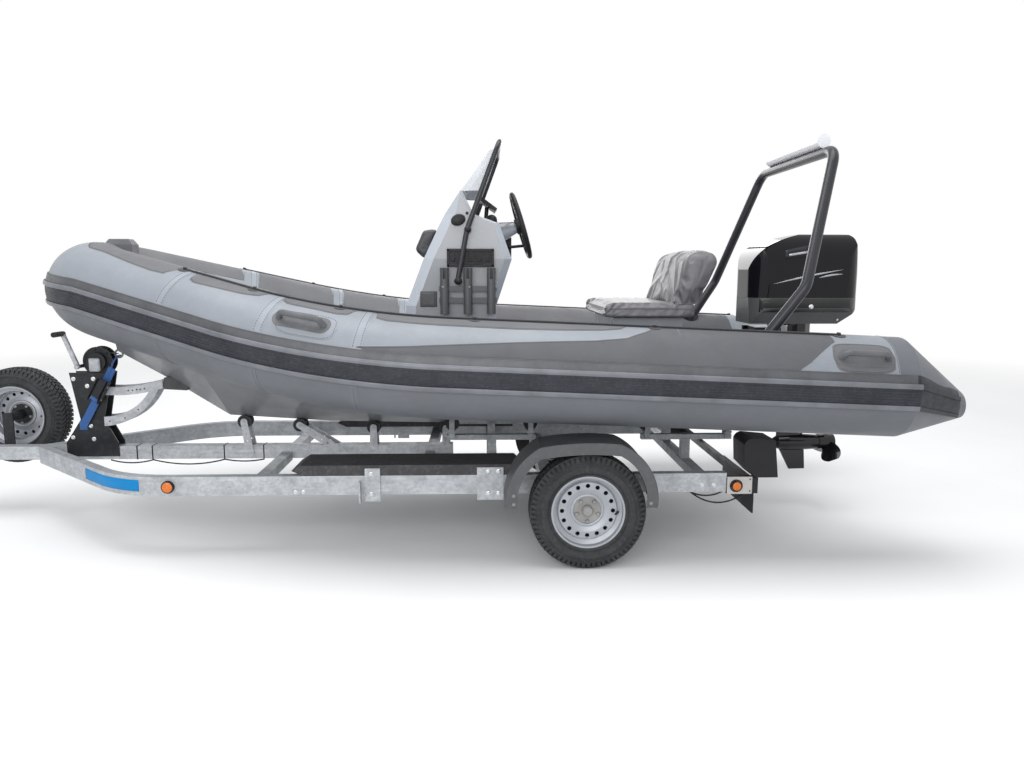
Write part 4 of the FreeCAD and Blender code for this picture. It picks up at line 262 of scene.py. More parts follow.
def clear_sheet():
    """Smoked acrylic with its colour painted pale grey, a painted reflection of the light it catches from the
    side, so that it reads as a pale sheet.
    """
    n = Nodes("smoked_acrylic", Roughness=0.10, IOR=1.45, Alpha=0.86)
    # Painted reflection: pale greys with soft blotches in place of the dark tint
    n.colour(n.mix(n.ramp(n.noise(5, 4), 0, 1, 0.35, 0.65), (0.50, 0.52, 0.55), (0.64, 0.66, 0.69)))
    n.bump(n.noise(4, 2), 0.001, 0.2)
    return n.mat


def anti_slip(name, colour):
    n = Nodes(name, Roughness=0.7)
    worn(n, colour, 0.2, 7, (0.20, 0.19, 0.18), 0.3)
    n.bump(n.ramp(n.voronoi(120), 1, 0, 0.1, 0.35), 0.002, 0.8)
    return n.mat


# The tube's grey is lighter on the upper skin and darker on the lower tube: mostly painted light and painted
# shade, partly the fabric's own tone
LIT_TOP_GREY = (0.235, 0.255, 0.285)
SHADED_LOW_GREY = (0.118, 0.125, 0.140)
DARK = (0.130, 0.131, 0.140)
# After a paint's colour: roughness, metal, grain's scale and depth, spread of its blotches, dust and coat
MAT = {
    "zinc": galvanised(),
    "bright": painted("bright_zinc", (0.62, 0.63, 0.64), 0.3, 0.9, 300, 0.0003, 0.15),
    "black_steel": painted("black_coated_steel", (0.022, 0.023, 0.026), 0.42, 0.1, 300, 0.0006, 0.2,
                           (0.10, 0.10, 0.10)),
    # The CAD collar takes the darker grey, mostly as painted shade on the lower tube; the upper skin over it
    # takes the lighter grey
    "collar": coated_fabric("collar_grey_low_shaded", SHADED_LOW_GREY, 0.46),
    "collar_light": coated_fabric("collar_grey_top_lit", LIT_TOP_GREY, 0.44),
    "collar_dark": coated_fabric("collar_dark_grey", DARK, 0.62, "grained"),
    "collar_panel": coated_fabric("collar_panel", (0.085, 0.087, 0.096), 0.6, "ribbed"),
    # The tapes follow the same painted light and shade: lighter on the upper skin, darker low on the tube
    "tape": coated_fabric("seam_tape", tone(LIT_TOP_GREY, 1.12), 0.42),
    "tape_mid": coated_fabric("seam_tape_low", tone(SHADED_LOW_GREY, 1.1), 0.45),
    "strake": rubber("strake_rubber", (0.034, 0.036, 0.044), 0.45, 90),
    "strip": rubber("strake_strip", (0.075, 0.078, 0.086), 0.42, 120),
    # The ridges' rubber is painted paler than the strake's: a painted highlight for the light on their
    # rounded tops
    "ridge": rubber("strake_ridge", (0.14, 0.145, 0.165), 0.36, 70),
    "stitch": rubber("stitching", (0.028, 0.028, 0.032), 0.7, 200),
    "tyre": rubber("tyre_rubber", (0.040, 0.041, 0.044), 0.72, 210),
    "roller": rubber("roller_rubber", (0.030, 0.030, 0.032), 0.65, 150),
    "snubber": rubber("snubber_rubber", (0.050, 0.050, 0.052), 0.7, 120),
    "grip": rubber("handle_rubber", (0.110, 0.112, 0.120), 0.55, 260),
    "hull": gelcoat("hull_gelcoat", (0.17, 0.175, 0.185), 0.35, 0.2),
    # The console and the bench base get a painted highlight on their forward and aft faces
    "console": gelcoat("console_gelcoat", (0.255, 0.265, 0.285), painted_highlight=(0.42, 0.45, 0.50)),
    "motor": gelcoat("motor_gloss_black", (0.006, 0.006, 0.008), 0.07, 0.06),
    "plastic": painted("grained_plastic", (0.065, 0.066, 0.070), 0.55, 0, 500, 0.0008, 0.12,
                       (0.16, 0.16, 0.16)),
    "plastic_black": painted("black_plastic", (0.018, 0.018, 0.020), 0.4, 0, 420, 0.0005, 0.15),
    "holder": painted("holder_plastic", (0.070, 0.073, 0.078), 0.38, 0, 300, 0.0004, 0.1),
    "guard": painted("mudguard_plastic", (0.072, 0.073, 0.078), 0.5, 0, 420, 0.001, 0.1,
                     (0.17, 0.17, 0.17)),
    "rim": painted("silver_rim", (0.36, 0.375, 0.405), 0.42, 0.35, 260, 0.0003, 0.08, (0.26, 0.25, 0.24),
                   0.1),
    "hub": painted("weathered_hub", (0.27, 0.265, 0.26), 0.62, 0.4, 90, 0.001, 0.3, (0.18, 0.155, 0.13)),
    "arch": painted("arch_powder_coat", (0.030, 0.031, 0.036), 0.3, 0.1, 320, 0.0005, 0.12, coat=0.15),
    "lamp_tube": painted("lamp_tube", (0.78, 0.79, 0.82), 0.25, 0, 200, 0.0003, 0.04, coat=0.4),
    "motor_pan": painted("motor_pan", (0.075, 0.078, 0.082), 0.36, 0, 260, 0.0005, 0.1, coat=0.1),
    "motor_belt": painted("motor_belt", (0.032, 0.036, 0.033), 0.3, 0, 260, 0.0004, 0.1),
    "motor_leg": painted("motor_leg_paint", (0.010, 0.010, 0.012), 0.22, 0.1, 160, 0.0004, 0.15, coat=0.5),
    "stripe": painted("pale_stripe", (0.42, 0.43, 0.46), 0.3, 0.3, 260, 0.0003, 0.06),
    "label": painted("blank_blue_label", (0.001, 0.205, 0.50), 0.45, 0, 300, 0.0002, 0.05),
    "box_pale": painted("pale_end_box", (0.46, 0.45, 0.43), 0.45, 0, 300, 0.0004, 0.06),
    "plank": anti_slip("walkway_grip", (0.040, 0.038, 0.042)),
    "vinyl": vinyl("seat_vinyl", (0.112, 0.109, 0.118)),
    "vinyl_dark": vinyl("cushion_vinyl", (0.035, 0.036, 0.040)),
    "rope": braid("black_rope", (0.016, 0.016, 0.018)),
    "blue": webbing("blue_webbing", (0.022, 0.095, 0.30)),
    "screen": clear_sheet(),
    "amber": lens("amber_lens", (0.74, 0.17, 0.004)),
    "red": lens("red_lens", (0.50, 0.015, 0.015)),
    "white_lens": lens("clear_lens", (0.75, 0.76, 0.78)),
}
# These mirror less than the others, so that they stay dark under the lamps
DULL = "black_steel plastic_black arch motor motor_belt motor_leg motor_pan strake label tyre roller"
for look in DULL.split():
    MAT[look].node_tree.nodes["Principled BSDF"].inputs["Specular IOR Level"].default_value = 0.22

CAD_LOOK = {
    "zinc": "side_rail_port side_rail_starboard drawbar cross_members axle jockey_leg jockey_fork "
            "coupling_head keel_roller_stands side_cradles snubber_arms rail_brackets",
    "black_steel": "winch_post winch spare_carrier",
    # The collar takes the darker grey, mostly painted shade
    "collar": "collar_port_aft collar_port_fore collar_bow collar_starboard_fore collar_starboard_aft",
    "plastic_black": "helm_wheel jockey_wheel trailer_lamps plate_board side_pocket dash_fittings",
    "motor_leg": "clamp_bracket swivel_bracket motor_leg propeller",
    "tyre": "tyre_port tyre_starboard spare_tyre",
    "rim": "rim_port rim_starboard spare_rim",
    "hub": "hub_port hub_starboard",
    # Both carry the console gelcoat's painted highlight on their forward and aft faces
    "console": "console bench_base",
    "arch": "roll_arch screen_rail",
    "grip": "grab_handles bow_cleat",
    "vinyl": "bench_seat bench_backrest",
    "vinyl_dark": "console_cushion",
    "strake": "rub_strake",
    "hull": "hull",
    "screen": "windscreen",
    "lamp_tube": "arch_lamp",
    "motor": "motor_cowl",
    "motor_pan": "motor_apron",
    "roller": "boat_rollers",
    "snubber": "bow_snubber",
    "guard": "mudguards",
    "plank": "walkways",
    "rope": "lifelines",
    "holder": "rod_holders",
    "blue": "bow_strap",
}
for look, names in CAD_LOOK.items():
    for name in names.split():
        NODES[name].data.materials.clear()
        NODES[name].data.materials.append(MAT[look])


# Mesh helpers

def add_mesh(name, verts, faces, look, body=ROOT, slot=None, smooth=True, angle=35):
    """A mesh object in the row frame that rides on a body."""
    mesh = bpy.data.meshes.new(name)
    mesh.from_pydata([tuple(v) for v in verts], [], faces)
    mesh.validate()
    mesh.update()
    shape = bmesh.new()
    shape.from_mesh(mesh)
    bmesh.ops.recalc_face_normals(shape, faces=shape.faces)
    shape.to_mesh(mesh)
    shape.free()
    obj = bpy.data.objects.new(name, mesh)
    SCENE.collection.objects.link(obj)
    mesh.materials.append(MAT[look])
    if smooth:
        mesh.polygons.foreach_set("use_smooth", [True] * len(mesh.polygons))
        mesh.set_sharp_from_angle(angle=math.radians(angle))
    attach(obj, body)
    if slot:
        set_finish(obj, slot)
    return obj


def grid_faces(rows, columns):
    """Faces between rows of points."""
    return [(a, a + 1, a + columns + 1, a + columns)
            for row in range(rows - 1) for a in range(row * columns, row * columns + columns - 1)]


def ring_sides(rings, steps, closed=False):
    """Faces between rings of points, and from the last ring to the first where they close."""
    faces = []
    for ring in range(rings if closed else rings - 1):
        first, after = ring * steps, (ring + 1) % rings * steps
        for k in range(steps):
            following = (k + 1) % steps
            faces.append((first + k, first + following, after + following, after + k))
    return faces


def ring_caps(rings, steps):
    """The faces inside the first and the last ring."""
    return [tuple(range(steps - 1, -1, -1)), tuple((rings - 1) * steps + k for k in range(steps))]


def polar(radius, turn, height):
    """A place round the Z axis."""
    return Vector((radius * math.cos(turn), radius * math.sin(turn), height))


def corners(node):
    """The low and the high corner of a CAD node's box."""
    return [Vector(corner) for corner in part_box(node)]


def frame_at(spot, normal, along=None):
    """A placement whose Z is the normal and whose X is along."""
    z = Vector(normal).normalized()
    x = Vector(along) if along is not None else z.orthogonal()
    x = (x - z * x.dot(z)).normalized()
    y = z.cross(x)
    place = Matrix((x, y, z)).transposed().to_4x4()
    place.translation = Vector(spot)
    return place


class Batch:
    """Collects small shapes into one mesh."""

    def __init__(self):
        self.verts, self.faces = [], []

    def add(self, verts, faces):
        start = len(self.verts)
        self.verts += [Vector(v) for v in verts]
        self.faces += [tuple(i + start for i in face) for face in faces]

    def turned(self, section, place, steps, closed=False):
        """A section of (radius, height) turned about the local Z of a placement."""
        verts = [place @ polar(r, 2 * math.pi * k / steps, h) for r, h in section for k in range(steps)]
        caps = [] if closed else ring_caps(len(section), steps)
        self.add(verts, ring_sides(len(section), steps, closed) + caps)

    def block(self, place, size, bevel):
        """A box with bevelled upright edges and top, centred on a placement with its base at z 0."""
        half_x, half_y, top = size[0] / 2, size[1] / 2, size[2]
        cut = min(bevel, half_x * 0.9, half_y * 0.9)
        verts = []
        for inset, z in ((0, 0), (0, top - cut), (cut, top)):
            for sign_x, sign_y in ((1, 1), (-1, 1), (-1, -1), (1, -1)):
                x, y = sign_x * (half_x - inset), sign_y * (half_y - inset)
                pair = [(x, y - sign_y * cut), (x - sign_x * cut, y)]
                if sign_x * sign_y < 0:
                    pair.reverse()
                verts += [place @ Vector((*spot, z)) for spot in pair]
        self.add(verts, ring_caps(3, 8) + ring_sides(3, 8))

    def tube(self, points, radius, steps):
        """A round bar along points, closed at its ends."""
        points = [Vector(p) for p in points]
        verts, side = [], None
        for k, spot in enumerate(points):
            along = (points[min(k + 1, len(points) - 1)] - points[max(k - 1, 0)]).normalized()
            if side is None:
                side = along.orthogonal().normalized()
            side = (side - along * side.dot(along)).normalized()
            other = along.cross(side)
            for turn in (2 * math.pi * j / steps for j in range(steps)):
                verts.append(spot + radius * (side * math.cos(turn) + other * math.sin(turn)))
        self.add(verts, ring_caps(len(points), steps) + ring_sides(len(points), steps))

    def bolt(self, spot, normal, size, height, washer=True):
        """A washer and a chamfered hexagonal head on a surface."""
        place = frame_at(spot, normal)
        if washer:
            self.turned([(size * 1.25, -0.001), (size * 1.25, 0.0012), (size * 1.15, 0.0018)], place, 20)
        self.turned([(size, 0.001), (size, height * 0.85), (size * 0.86, height)], place, 6)

    def make(self, name, look, body=ROOT, slot=None, smooth=True, angle=35):
        return add_mesh(name, self.verts, self.faces, look, body, slot, smooth, angle)


def tree_of(mesh):
    places = [tuple(vert.co) for vert in mesh.vertices]
    return BVHTree.FromPolygons(places, [tuple(face.vertices) for face in mesh.polygons])


def first_hit(tree, origin, direction, reach):
    """Where a ray first meets a surface, and the normal there on the ray's side."""
    direction = Vector(direction)
    spot, normal, _, _ = tree.ray_cast(Vector(origin), direction, reach)
    if spot is None:
        return None, None
    return spot, -normal if normal.dot(direction) > 0 else normal


TREES = {}


def cast(node, origin, direction, reach=6.0):
    """Where a ray first meets a CAD node."""
    if node not in TREES:
        TREES[node] = tree_of(NODES[node].data)
    return first_hit(TREES[node], origin, direction, reach)


def on(node, x, z, side=1):
    """The outer face of a node at a place in the side view, and its normal."""
    return cast(node, (x, 2.0 * side, z), (0, -side, 0))


def hits(node, places, sides=(1, -1)):
    """The outer faces of a node at those places of the side view that lie on it."""
    for x, z in places:
        for side in sides:
            spot, normal = on(node, x, z, side)
            if spot is not None:
                yield side, spot, normal


def decal(name, node, first, second, rows, look, lift, side=1, body=ROOT, slot=None):
    """A thin sheet on a node's side: two polylines in the side view, and rows of points between them."""
    verts = []
    for row in range(rows + 1):
        share = row / rows
        for (x0, z0), (x1, z1) in zip(first, second):
            spot, normal = on(node, x0 + (x1 - x0) * share, z0 + (z1 - z0) * share, side)
            verts.append(spot + normal * lift)
    obj = add_mesh(name, verts, grid_faces(rows + 1, len(first)), look, body, slot)
    thick = obj.modifiers.new("thick", "SOLIDIFY")
    thick.thickness = lift
    thick.offset = -1


# The air tube's own coordinates: length along its axis from the stern, and degrees above level outboard

TUBE_RADIUS = 0.252
AFT, KNEE, NOSE = Vector((-2.700, 0.820, 0.893)), Vector((0.088, 0.820, 1.015)), Vector((1.590, 0.185, 1.378))
BOW = Vector((1.590, 0.0, 1.378))
KNEE_RUN = 0.560


def bend_of(start, corner, end):
    """Centre, radius and axes of the arc that meets both runs."""
    into, out = (corner - start).normalized(), (end - corner).normalized()
    half = into.angle(out) / 2
    radius = (corner - start).length / math.tan(half)
    centre = corner + (out - into).normalized() * (radius / math.cos(half))
    return centre, radius, (start - centre).normalized(), into, 2 * half


class Tube:
    """Places on the air tube from the port stern round the bow."""

    def __init__(self):
        back, ahead = (AFT - KNEE).normalized(), (NOSE - KNEE).normalized()
        self.a = KNEE + back * KNEE_RUN
        self.b = KNEE + ahead * KNEE_RUN
        self.c = NOSE - ahead * NOSE.y
        self.knee, self.nose = bend_of(self.a, KNEE, self.b), bend_of(self.c, NOSE, BOW)
        self.marks = [(self.a - AFT).length]
        self.marks.append(self.marks[0] + self.knee[1] * self.knee[4])
        self.marks.append(self.marks[1] + (self.c - self.b).length)
        self.half = self.marks[2] + self.nose[1] * self.nose[4]

    def axis(self, s):
        """Axis point and direction."""
        if s > self.half:
            spot, along = self.axis(2 * self.half - s)
            return Vector((spot.x, -spot.y, spot.z)), Vector((-along.x, along.y, -along.z))
        if s <= self.marks[0]:
            along = (self.a - AFT).normalized()
            return AFT + along * s, along
        if self.marks[1] < s <= self.marks[2]:
            along = (self.c - self.b).normalized()
            return self.b + along * (s - self.marks[1]), along
        bend, start = (self.knee, self.marks[0]) if s <= self.marks[1] else (self.nose, self.marks[2])
        centre, radius, u, v, _ = bend
        t = (s - start) / radius
        return centre + (u * math.cos(t) + v * math.sin(t)) * radius, v * math.cos(t) - u * math.sin(t)

    def at(self, s, theta, lift):
        """Point on the tube's skin and its outward normal."""
        spot, along = self.axis(s)
        level = Vector(UP).cross(along).normalized()
        turn = math.radians(theta)
        outward = level * math.cos(turn) + along.cross(level) * math.sin(turn)
        return spot + outward * (TUBE_RADIUS + lift), outward


TUBE = Tube()
HALF = TUBE.half


def between(table, value):
    """A value read from a table of pairs, straight between its rows. A plain number stands for itself."""
    if isinstance(table, (int, float)):
        return table
    if value <= table[0][0]:
        return table[0][1]
    for (x0, y0), (x1, y1) in zip(table[:-1], table[1:]):
        if value <= x1:
            return y0 + (y1 - y0) * (value - x0) / (x1 - x0)
    return table[-1][1]


def spread(start, end, step=0.03):
    count = max(2, math.ceil(abs(end - start) / step))
    return [start + (end - start) * k / count for k in range(count + 1)]


def stations_with(table, start, end):
    """Lengths about every 20 mm between two, and those of a table."""
    return sorted({round(s, 4) for s in spread(start, end, 0.02)} | {s for s, _ in table})


def mirror_of(obj):
    """The same piece on the other side of the boat."""
    copy = bpy.data.objects.new(obj.name.replace("_port", "_starboard"), obj.data.copy())
    SCENE.collection.objects.link(copy)
    copy.data.transform(Matrix.Scale(-1, 4, PORT))
    copy.data.flip_normals()
    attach(copy, ROOT)
    if "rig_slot" in obj:
        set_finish(copy, obj["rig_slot"])


def skin(name, stations, low, high, look, lift, rows, slot="collar_fabric"):
    """A sheet on both sides of the boat between two curves of angle over length, its edges turned down."""
    columns = rows + 3
    shares = [min(max((k - 1) / rows, 0), 1) for k in range(columns)]

    def line(s, heights):
        bottom, top = between(low, s), between(high, s)
        return [TUBE.at(s, bottom + (top - bottom) * share, height)[0]
                for share, height in zip(shares, heights)]

    verts = [vert for s in stations for vert in line(s, [0.0] + [lift] * (rows + 1) + [0.0])]
    faces = grid_faces(len(stations), columns)
    for row in (0, len(stations) - 1):
        first, base = row * columns, len(verts)
        verts += line(stations[row], [0.0] * columns)
        faces += [(first + k, first + k + 1, base + k + 1, base + k) for k in range(columns - 1)]
    mirror_of(add_mesh(name, verts, faces, look, ROOT, slot, angle=60))


def walk(spots, step):
    """Places every step along a polyline of (point, normal) pairs, with the direction there."""
    left, here = step / 2, 0.0
    for (p0, n0), (p1, n1) in zip(spots[:-1], spots[1:]):
        run = (p1 - p0).length
        while left <= here + run:
            share = (left - here) / run
            yield p0.lerp(p1, share), n0.lerp(n1, share).normalized(), (p1 - p0).normalized()
            left += step
        here += run


def dashes(batch, path, lift, long=0.008, gap=0.006, wide=0.0026):
    """A row of stitches along a path of (length, angle) places on the tube."""
    for spot, normal, along in walk([TUBE.at(s, theta, lift) for s, theta in path], long + gap):
        batch.block(frame_at(spot - normal * 0.0004, normal, along), (long, wide, 0.0014), 0.0006)


# Light upper skin in sections, its lighter grey mostly painted light, dark patches on top and the long dark
# panel on each side

STERN_EDGE, SEAMS = 0.10, (2.645, 3.12, 3.70)
# How far each sheet lies above the tube
SKIN_UP, PANEL_UP, TAPE_UP, LOW_TAPE_UP, PATCH_UP, OVAL_UP = 0.0012, 0.0020, 0.0022, 0.0010, 0.0026, 0.0030
STRIP_UP, STRIP_STITCH_UP = 0.0066, 0.0064
# Angles where the skin starts, where the tapes lie and where their stitches are
SKIN_EDGE, TAPE, LOW_TAPE = 19.5, (20.5, 160), (-118, -18.5)
TAPE_STITCHES, LOW_STITCHES = range(22, 158, 3), range(-112, -20, 3)
INBOARD = [(0, 168), (3.2, 168), (3.9, 150), (4.58, 128), (9, 128)]
LENS_TOP = [(1.14, 118), (1.22, 84), (1.30, 66), (1.40, 52.5), (1.55, 46.9), (1.89, 40.7), (2.29, 32.6),
            (2.645, 23.5)]
PANEL_REAR = [(0.36, 124), (0.38, 62), (0.455, 46), (0.53, 30), (0.585, 21)]
TOP_LOW = {
    "patch_a": [(3.760, 112), (3.772, 76), (3.80, 61), (3.88, 59.5), (4.05, 62.5), (4.34, 72), (4.45, 86),
                (4.50, 112)],
    "patch_b": [(3.180, 112), (3.192, 84), (3.225, 69), (3.30, 65), (3.40, 63), (3.60, 60), (3.640, 64),
                (3.665, 84), (3.672, 112)],
    "patch_c": [(2.700, 112), (2.712, 78), (2.74, 64), (2.80, 62.5), (2.90, 65), (3.06, 66.5), (3.10, 72),
                (3.112, 90), (3.116, 112)],
    "patch_d": [(1.30, 128), (1.36, 86), (1.42, 70), (1.51, 64.5), (1.70, 61.5), (1.93, 59.5), (2.25, 60.5),
                (2.55, 61.5), (2.600, 65), (2.618, 84), (2.622, 112)],
}


def light_skin():
    """The pale upper skin, made of the sections between the seams. Its grey is lighter than the lower tube's,
    mostly as painted light and partly as the fabric's own tone.
    """
    ends = (STERN_EDGE,) + SEAMS + (HALF,)
    for number, (start, end) in enumerate(zip(ends[:-1], ends[1:])):
        name = "tube_skin_%d_port" % number
        skin(name, spread(start, end), SKIN_EDGE, INBOARD, "collar_light", SKIN_UP, 20)


def top_patches():
    for name, table in TOP_LOW.items():
        start, end = table[0][0], table[-1][0]
        stations = stations_with(table, start, end)
        inboard = 134 if start > SEAMS[-1] else 150
        skin("tube_%s_port" % name, stations, table, inboard, "collar_dark", PATCH_UP, 12)


def side_panel():
    """The long dark panel under the pale lens shape, with a rounded rear end."""
    rear, lens_start = PANEL_REAR[-1][0], LENS_TOP[0][0]
    stations = stations_with(LENS_TOP + PANEL_REAR, PANEL_REAR[0][0], LENS_TOP[-1][0])
    low = [(s, between(PANEL_REAR, s) if s < rear else 20.8) for s in stations]
    high = [(s, between(LENS_TOP, s) if s >= lens_start else 150) for s in stations]
    skin("tube_panel_port", stations, low, high, "collar_panel", PANEL_UP, 16)


def seam_bands():
    """Double-stitched tapes round the tube at each seam, and the stitching round the patches."""
    batch = Batch()
    for s in SEAMS:
        label = "%d_port" % round(s * 100)
        skin("seam_band_" + label, spread(s - 0.024, s + 0.024, 0.012), *TAPE, "tape", TAPE_UP, 24)
        for shift in (-0.017, 0.017):
            dashes(batch, [(s + shift, theta) for theta in TAPE_STITCHES], TAPE_UP)
        skin("seam_low_" + label, spread(s - 0.016, s + 0.016, 0.008), *LOW_TAPE, "tape_mid", LOW_TAPE_UP, 20)
        dashes(batch, [(s, theta) for theta in LOW_STITCHES], LOW_TAPE_UP, 0.006, 0.004, 0.0014)
    dashes(batch, [(0.105, theta) for theta in TAPE_STITCHES], 0.0014)
    for table in TOP_LOW.values():
        stations = stations_with([], table[0][0] + 0.01, table[-1][0] - 0.01)
        dashes(batch, [(s, between(table, s) + 1.6) for s in stations], PATCH_UP, 0.007, 0.006, 0.0022)
    lens_edge = [(s, between(LENS_TOP, s) - 1.5) for s in spread(1.22, 2.64)]
    dashes(batch, lens_edge, 0.0022, 0.006, 0.006, 0.0018)
    dashes(batch, [(s, 19.0) for s in spread(STERN_EDGE, HALF)], STRIP_STITCH_UP, 0.006, 0.007, 0.0016)
    mirror_of(batch.make("tube_stitches_port", "stitch", smooth=False))


light_skin()
top_patches()
side_panel()
seam_bands()


# Strake: its smooth strip, its ridges and its ribs over the CAD band

def strake_dress():
    """Rounded ridges, painted pale as a painted highlight, a smooth upper strip and fine ribs, round the
    whole tube.
    """
    rubber_slot = "strake_rubber"
    skin("strake_strip_port", spread(0.02, HALF, 0.02), 10.8, 20.2, "strip", STRIP_UP, 6, rubber_slot)
    stations = spread(0.0, HALF)
    turns = [math.pi * k / 8 for k in range(9)]
    # The ridges take the pale ridge rubber, a painted highlight
    for name, middle in (("upper", 8.0), ("lower", -15.0)):
        verts = [TUBE.at(s, middle + 2.7 * math.cos(turn), 0.0145 + 0.0045 * math.sin(turn))[0]
                 for s in stations for turn in turns]
        faces = grid_faces(len(stations), len(turns))
        mirror_of(add_mesh("strake_ridge_%s_port" % name, verts, faces, "ridge", slot=rubber_slot, angle=70))
    batch = Batch()
    for theta in (-9.5, -6.5, -3.5, -0.5, 2.5):
        batch.tube([TUBE.at(s, theta, 0.0090)[0] for s in spread(0.0, HALF, 0.04)], 0.0022, 6)
    mirror_of(batch.make("strake_ribs_port", "strake", slot=rubber_slot))


strake_dress()


# Tyres, wheels and hubs

BOLT_CIRCLE = 0.056
BLOCK_FACES = [(0, 1, 3, 2), (4, 6, 7, 5), (0, 4, 5, 1), (2, 3, 7, 6), (0, 2, 6, 4), (1, 5, 7, 3)]
SHOULDER_FACES = [(0, 1, 5, 4), (4, 5, 7, 6), (2, 6, 7, 3), (0, 4, 6, 2), (1, 3, 7, 5), (0, 2, 3, 1)]


def tyre(name, node, body, place, radius, half):
    """A road tyre: a sculpted sidewall, shoulder blocks, four grooves and rows of blocks."""
    bead, base = 0.180, radius - 0.0095
    outer = [
        (bead, half - 0.030), (bead + 0.004, half - 0.014), (bead + 0.012, half - 0.009),
        (bead + 0.030, half - 0.006), (bead + 0.045, half - 0.001), (bead + 0.052, half - 0.0005),
        (bead + 0.054, half - 0.003), (bead + 0.070, half - 0.003), (bead + 0.072, half - 0.006),
        (radius - 0.036, half - 0.0075), (radius - 0.027, half - 0.016), (radius - 0.015, half - 0.026),
        (base, half - 0.030), (base, 0)]
    inside = [(bead - 0.004, -half + 0.05), (bead - 0.004, half - 0.05)]
    batch = Batch()
    batch.turned(outer + [(r, -h) for r, h in reversed(outer[:-1])] + inside, place, 144, closed=True)
    blocks, chamfer, shoulder = 66, 0.0012, 0.0128
    bands = ((-half + 0.020, -half + 0.047, 0.0), (-0.037, -0.012, 0.5), (-0.008, 0.017, 0.25),
             (0.021, 0.039, 0.75), (half - 0.047, half - 0.020, 0.4))
    for low, high, shift in bands:
        starts = [2 * math.pi * (number + shift) / blocks for number in range(blocks)]
        crown = 0.0035 if abs(low + high) > 0.05 else 0.0
        slant = 0.010 / radius * (1 if low + high < 0 else -1)
        for start in starts:
            end = start + 2 * math.pi / blocks * 0.80
            verts = []
            for r, inset in ((base - 0.001, 0), (radius - crown, chamfer)):
                for h, lean in ((low + inset, 0), (high - inset, slant)):
                    for turn in (start + inset / radius, end - inset / radius):
                        verts.append(place @ polar(r, turn + lean, h))
            batch.add(verts, BLOCK_FACES)
        if not crown:
            continue
        sign, edge = (-1, low) if low < 0 else (1, high)
        outside = edge + shoulder * sign
        section = ((radius - crown, edge), (base - 0.001, edge), (radius - 0.032, outside),
                   (radius - 0.040, outside - 0.004 * sign))
        for start in starts:
            end = start + 2 * math.pi / blocks * 0.62
            verts = [place @ polar(r, turn, h) for r, h in section for turn in (start, end)]
            batch.add(verts, SHOULDER_FACES)
    made = batch.make(name, "tyre", body, "tyre", angle=30)
    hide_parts(node)


def sidewall_ribs(name, body, place, half):
    """Fine ribs round the tyre's shoulder and rim line."""
    batch = Batch()
    for r in (0.196, 0.240, 0.244):
        batch.turned([(r - 0.0012, half - 0.008), (r - 0.0006, half - 0.0015), (r + 0.0006, half - 0.0015),
                      (r + 0.0012, half - 0.008)], place, 96, closed=True)
    batch.make(name, "tyre", body, "tyre")


def wheel_trim(name, body, place, outward, face):
    """Bolts, a valve, a ring round a dusty centre, a grease cap and a black ring of painted shade behind the
    disc's holes.
    """
    metal, dark, ring = Batch(), Batch(), Batch()
    bead = [(0.0765 + 0.0085 * math.cos(turn), face + 0.0008 + 0.0068 * math.sin(turn))
            for turn in (math.radians(a) for a in range(-30, 211, 20))]
    ring.turned(bead, place, 64, closed=True)
    ring.make(name + "_ring", "rim", body, "wheel_silver")
    metal.turned([(0.0700, face - 0.0006), (0.0700, face + 0.0010), (0.0675, face + 0.0012)], place, 48)
    # Painted shade: a black ring behind the disc's holes, where the inside of the wheel lies in shade
    dark.turned([(0.095, face - 0.034), (0.148, face - 0.034), (0.148, face - 0.032), (0.095, face - 0.032)],
                place, 64, closed=True)
    for number in range(5):
        seat = frame_at(place @ polar(BOLT_CIRCLE, math.radians(90 + 72 * number), face), (0, outward, 0))
        metal.turned([(0.0130, -0.004), (0.0130, 0.001), (0.0105, 0.003)], seat, 20)
        metal.turned([(0.0092, 0.002), (0.0092, 0.013), (0.0078, 0.0155)], seat, 6)
    metal.turned([(0.0265, -0.003), (0.0265, 0.010), (0.0250, 0.0125), (0.0215, 0.0150), (0.0110, 0.0168),
                  (0.004, 0.0172)], place @ Matrix.Translation((0, 0, face)), 40)
    aft = math.radians(176)
    stem = frame_at(place @ polar(0.150, aft, face + 0.012), place.to_3x3() @ polar(-0.45, aft, 0.9))
    dark.turned([(0.0060, -0.012), (0.0060, 0.008), (0.0042, 0.012), (0.0042, 0.022), (0.0050, 0.023),
                 (0.0050, 0.034), (0.0040, 0.036)], stem, 16)
    metal.make(name + "_bolts", "hub", body)
    dark.make(name + "_valve_and_painted_shade", "plastic_black", body)


WHEELS = {
    "port": ("tyre_port", "rim_port", "wheel_port", 1),
    "starboard": ("tyre_starboard", "rim_starboard", "wheel_starboard", -1),
    "spare": ("spare_tyre", "spare_rim", ROOT, 1),
}
for side, (tyre_node, rim_node, body, outward) in WHEELS.items():
    low, high = corners(tyre_node)
    centre = (low + high) / 2
    half = (high.y - low.y) / 2
    place = frame_at(centre, (0, outward, 0), AHEAD)
    tyre("tread_" + side, tyre_node, body, place, (high.x - low.x) / 2, half)
    sidewall_ribs("sidewall_" + side, body, place, half)
    disc, _ = cast(rim_node, centre + Vector((BOLT_CIRCLE, 0.5 * outward, 0)), (0, -outward, 0), 1.0)
    wheel_trim("wheel_" + side, body, place, outward, (disc.y - centre.y) * outward)


# Seat, backrest and console cushion: soft shells swollen by a cloth simulation

def evaluated(obj):
    """The mesh that an object's modifiers make."""
    return bpy.data.meshes.new_from_object(obj.evaluated_get(bpy.context.evaluated_depsgraph_get()))


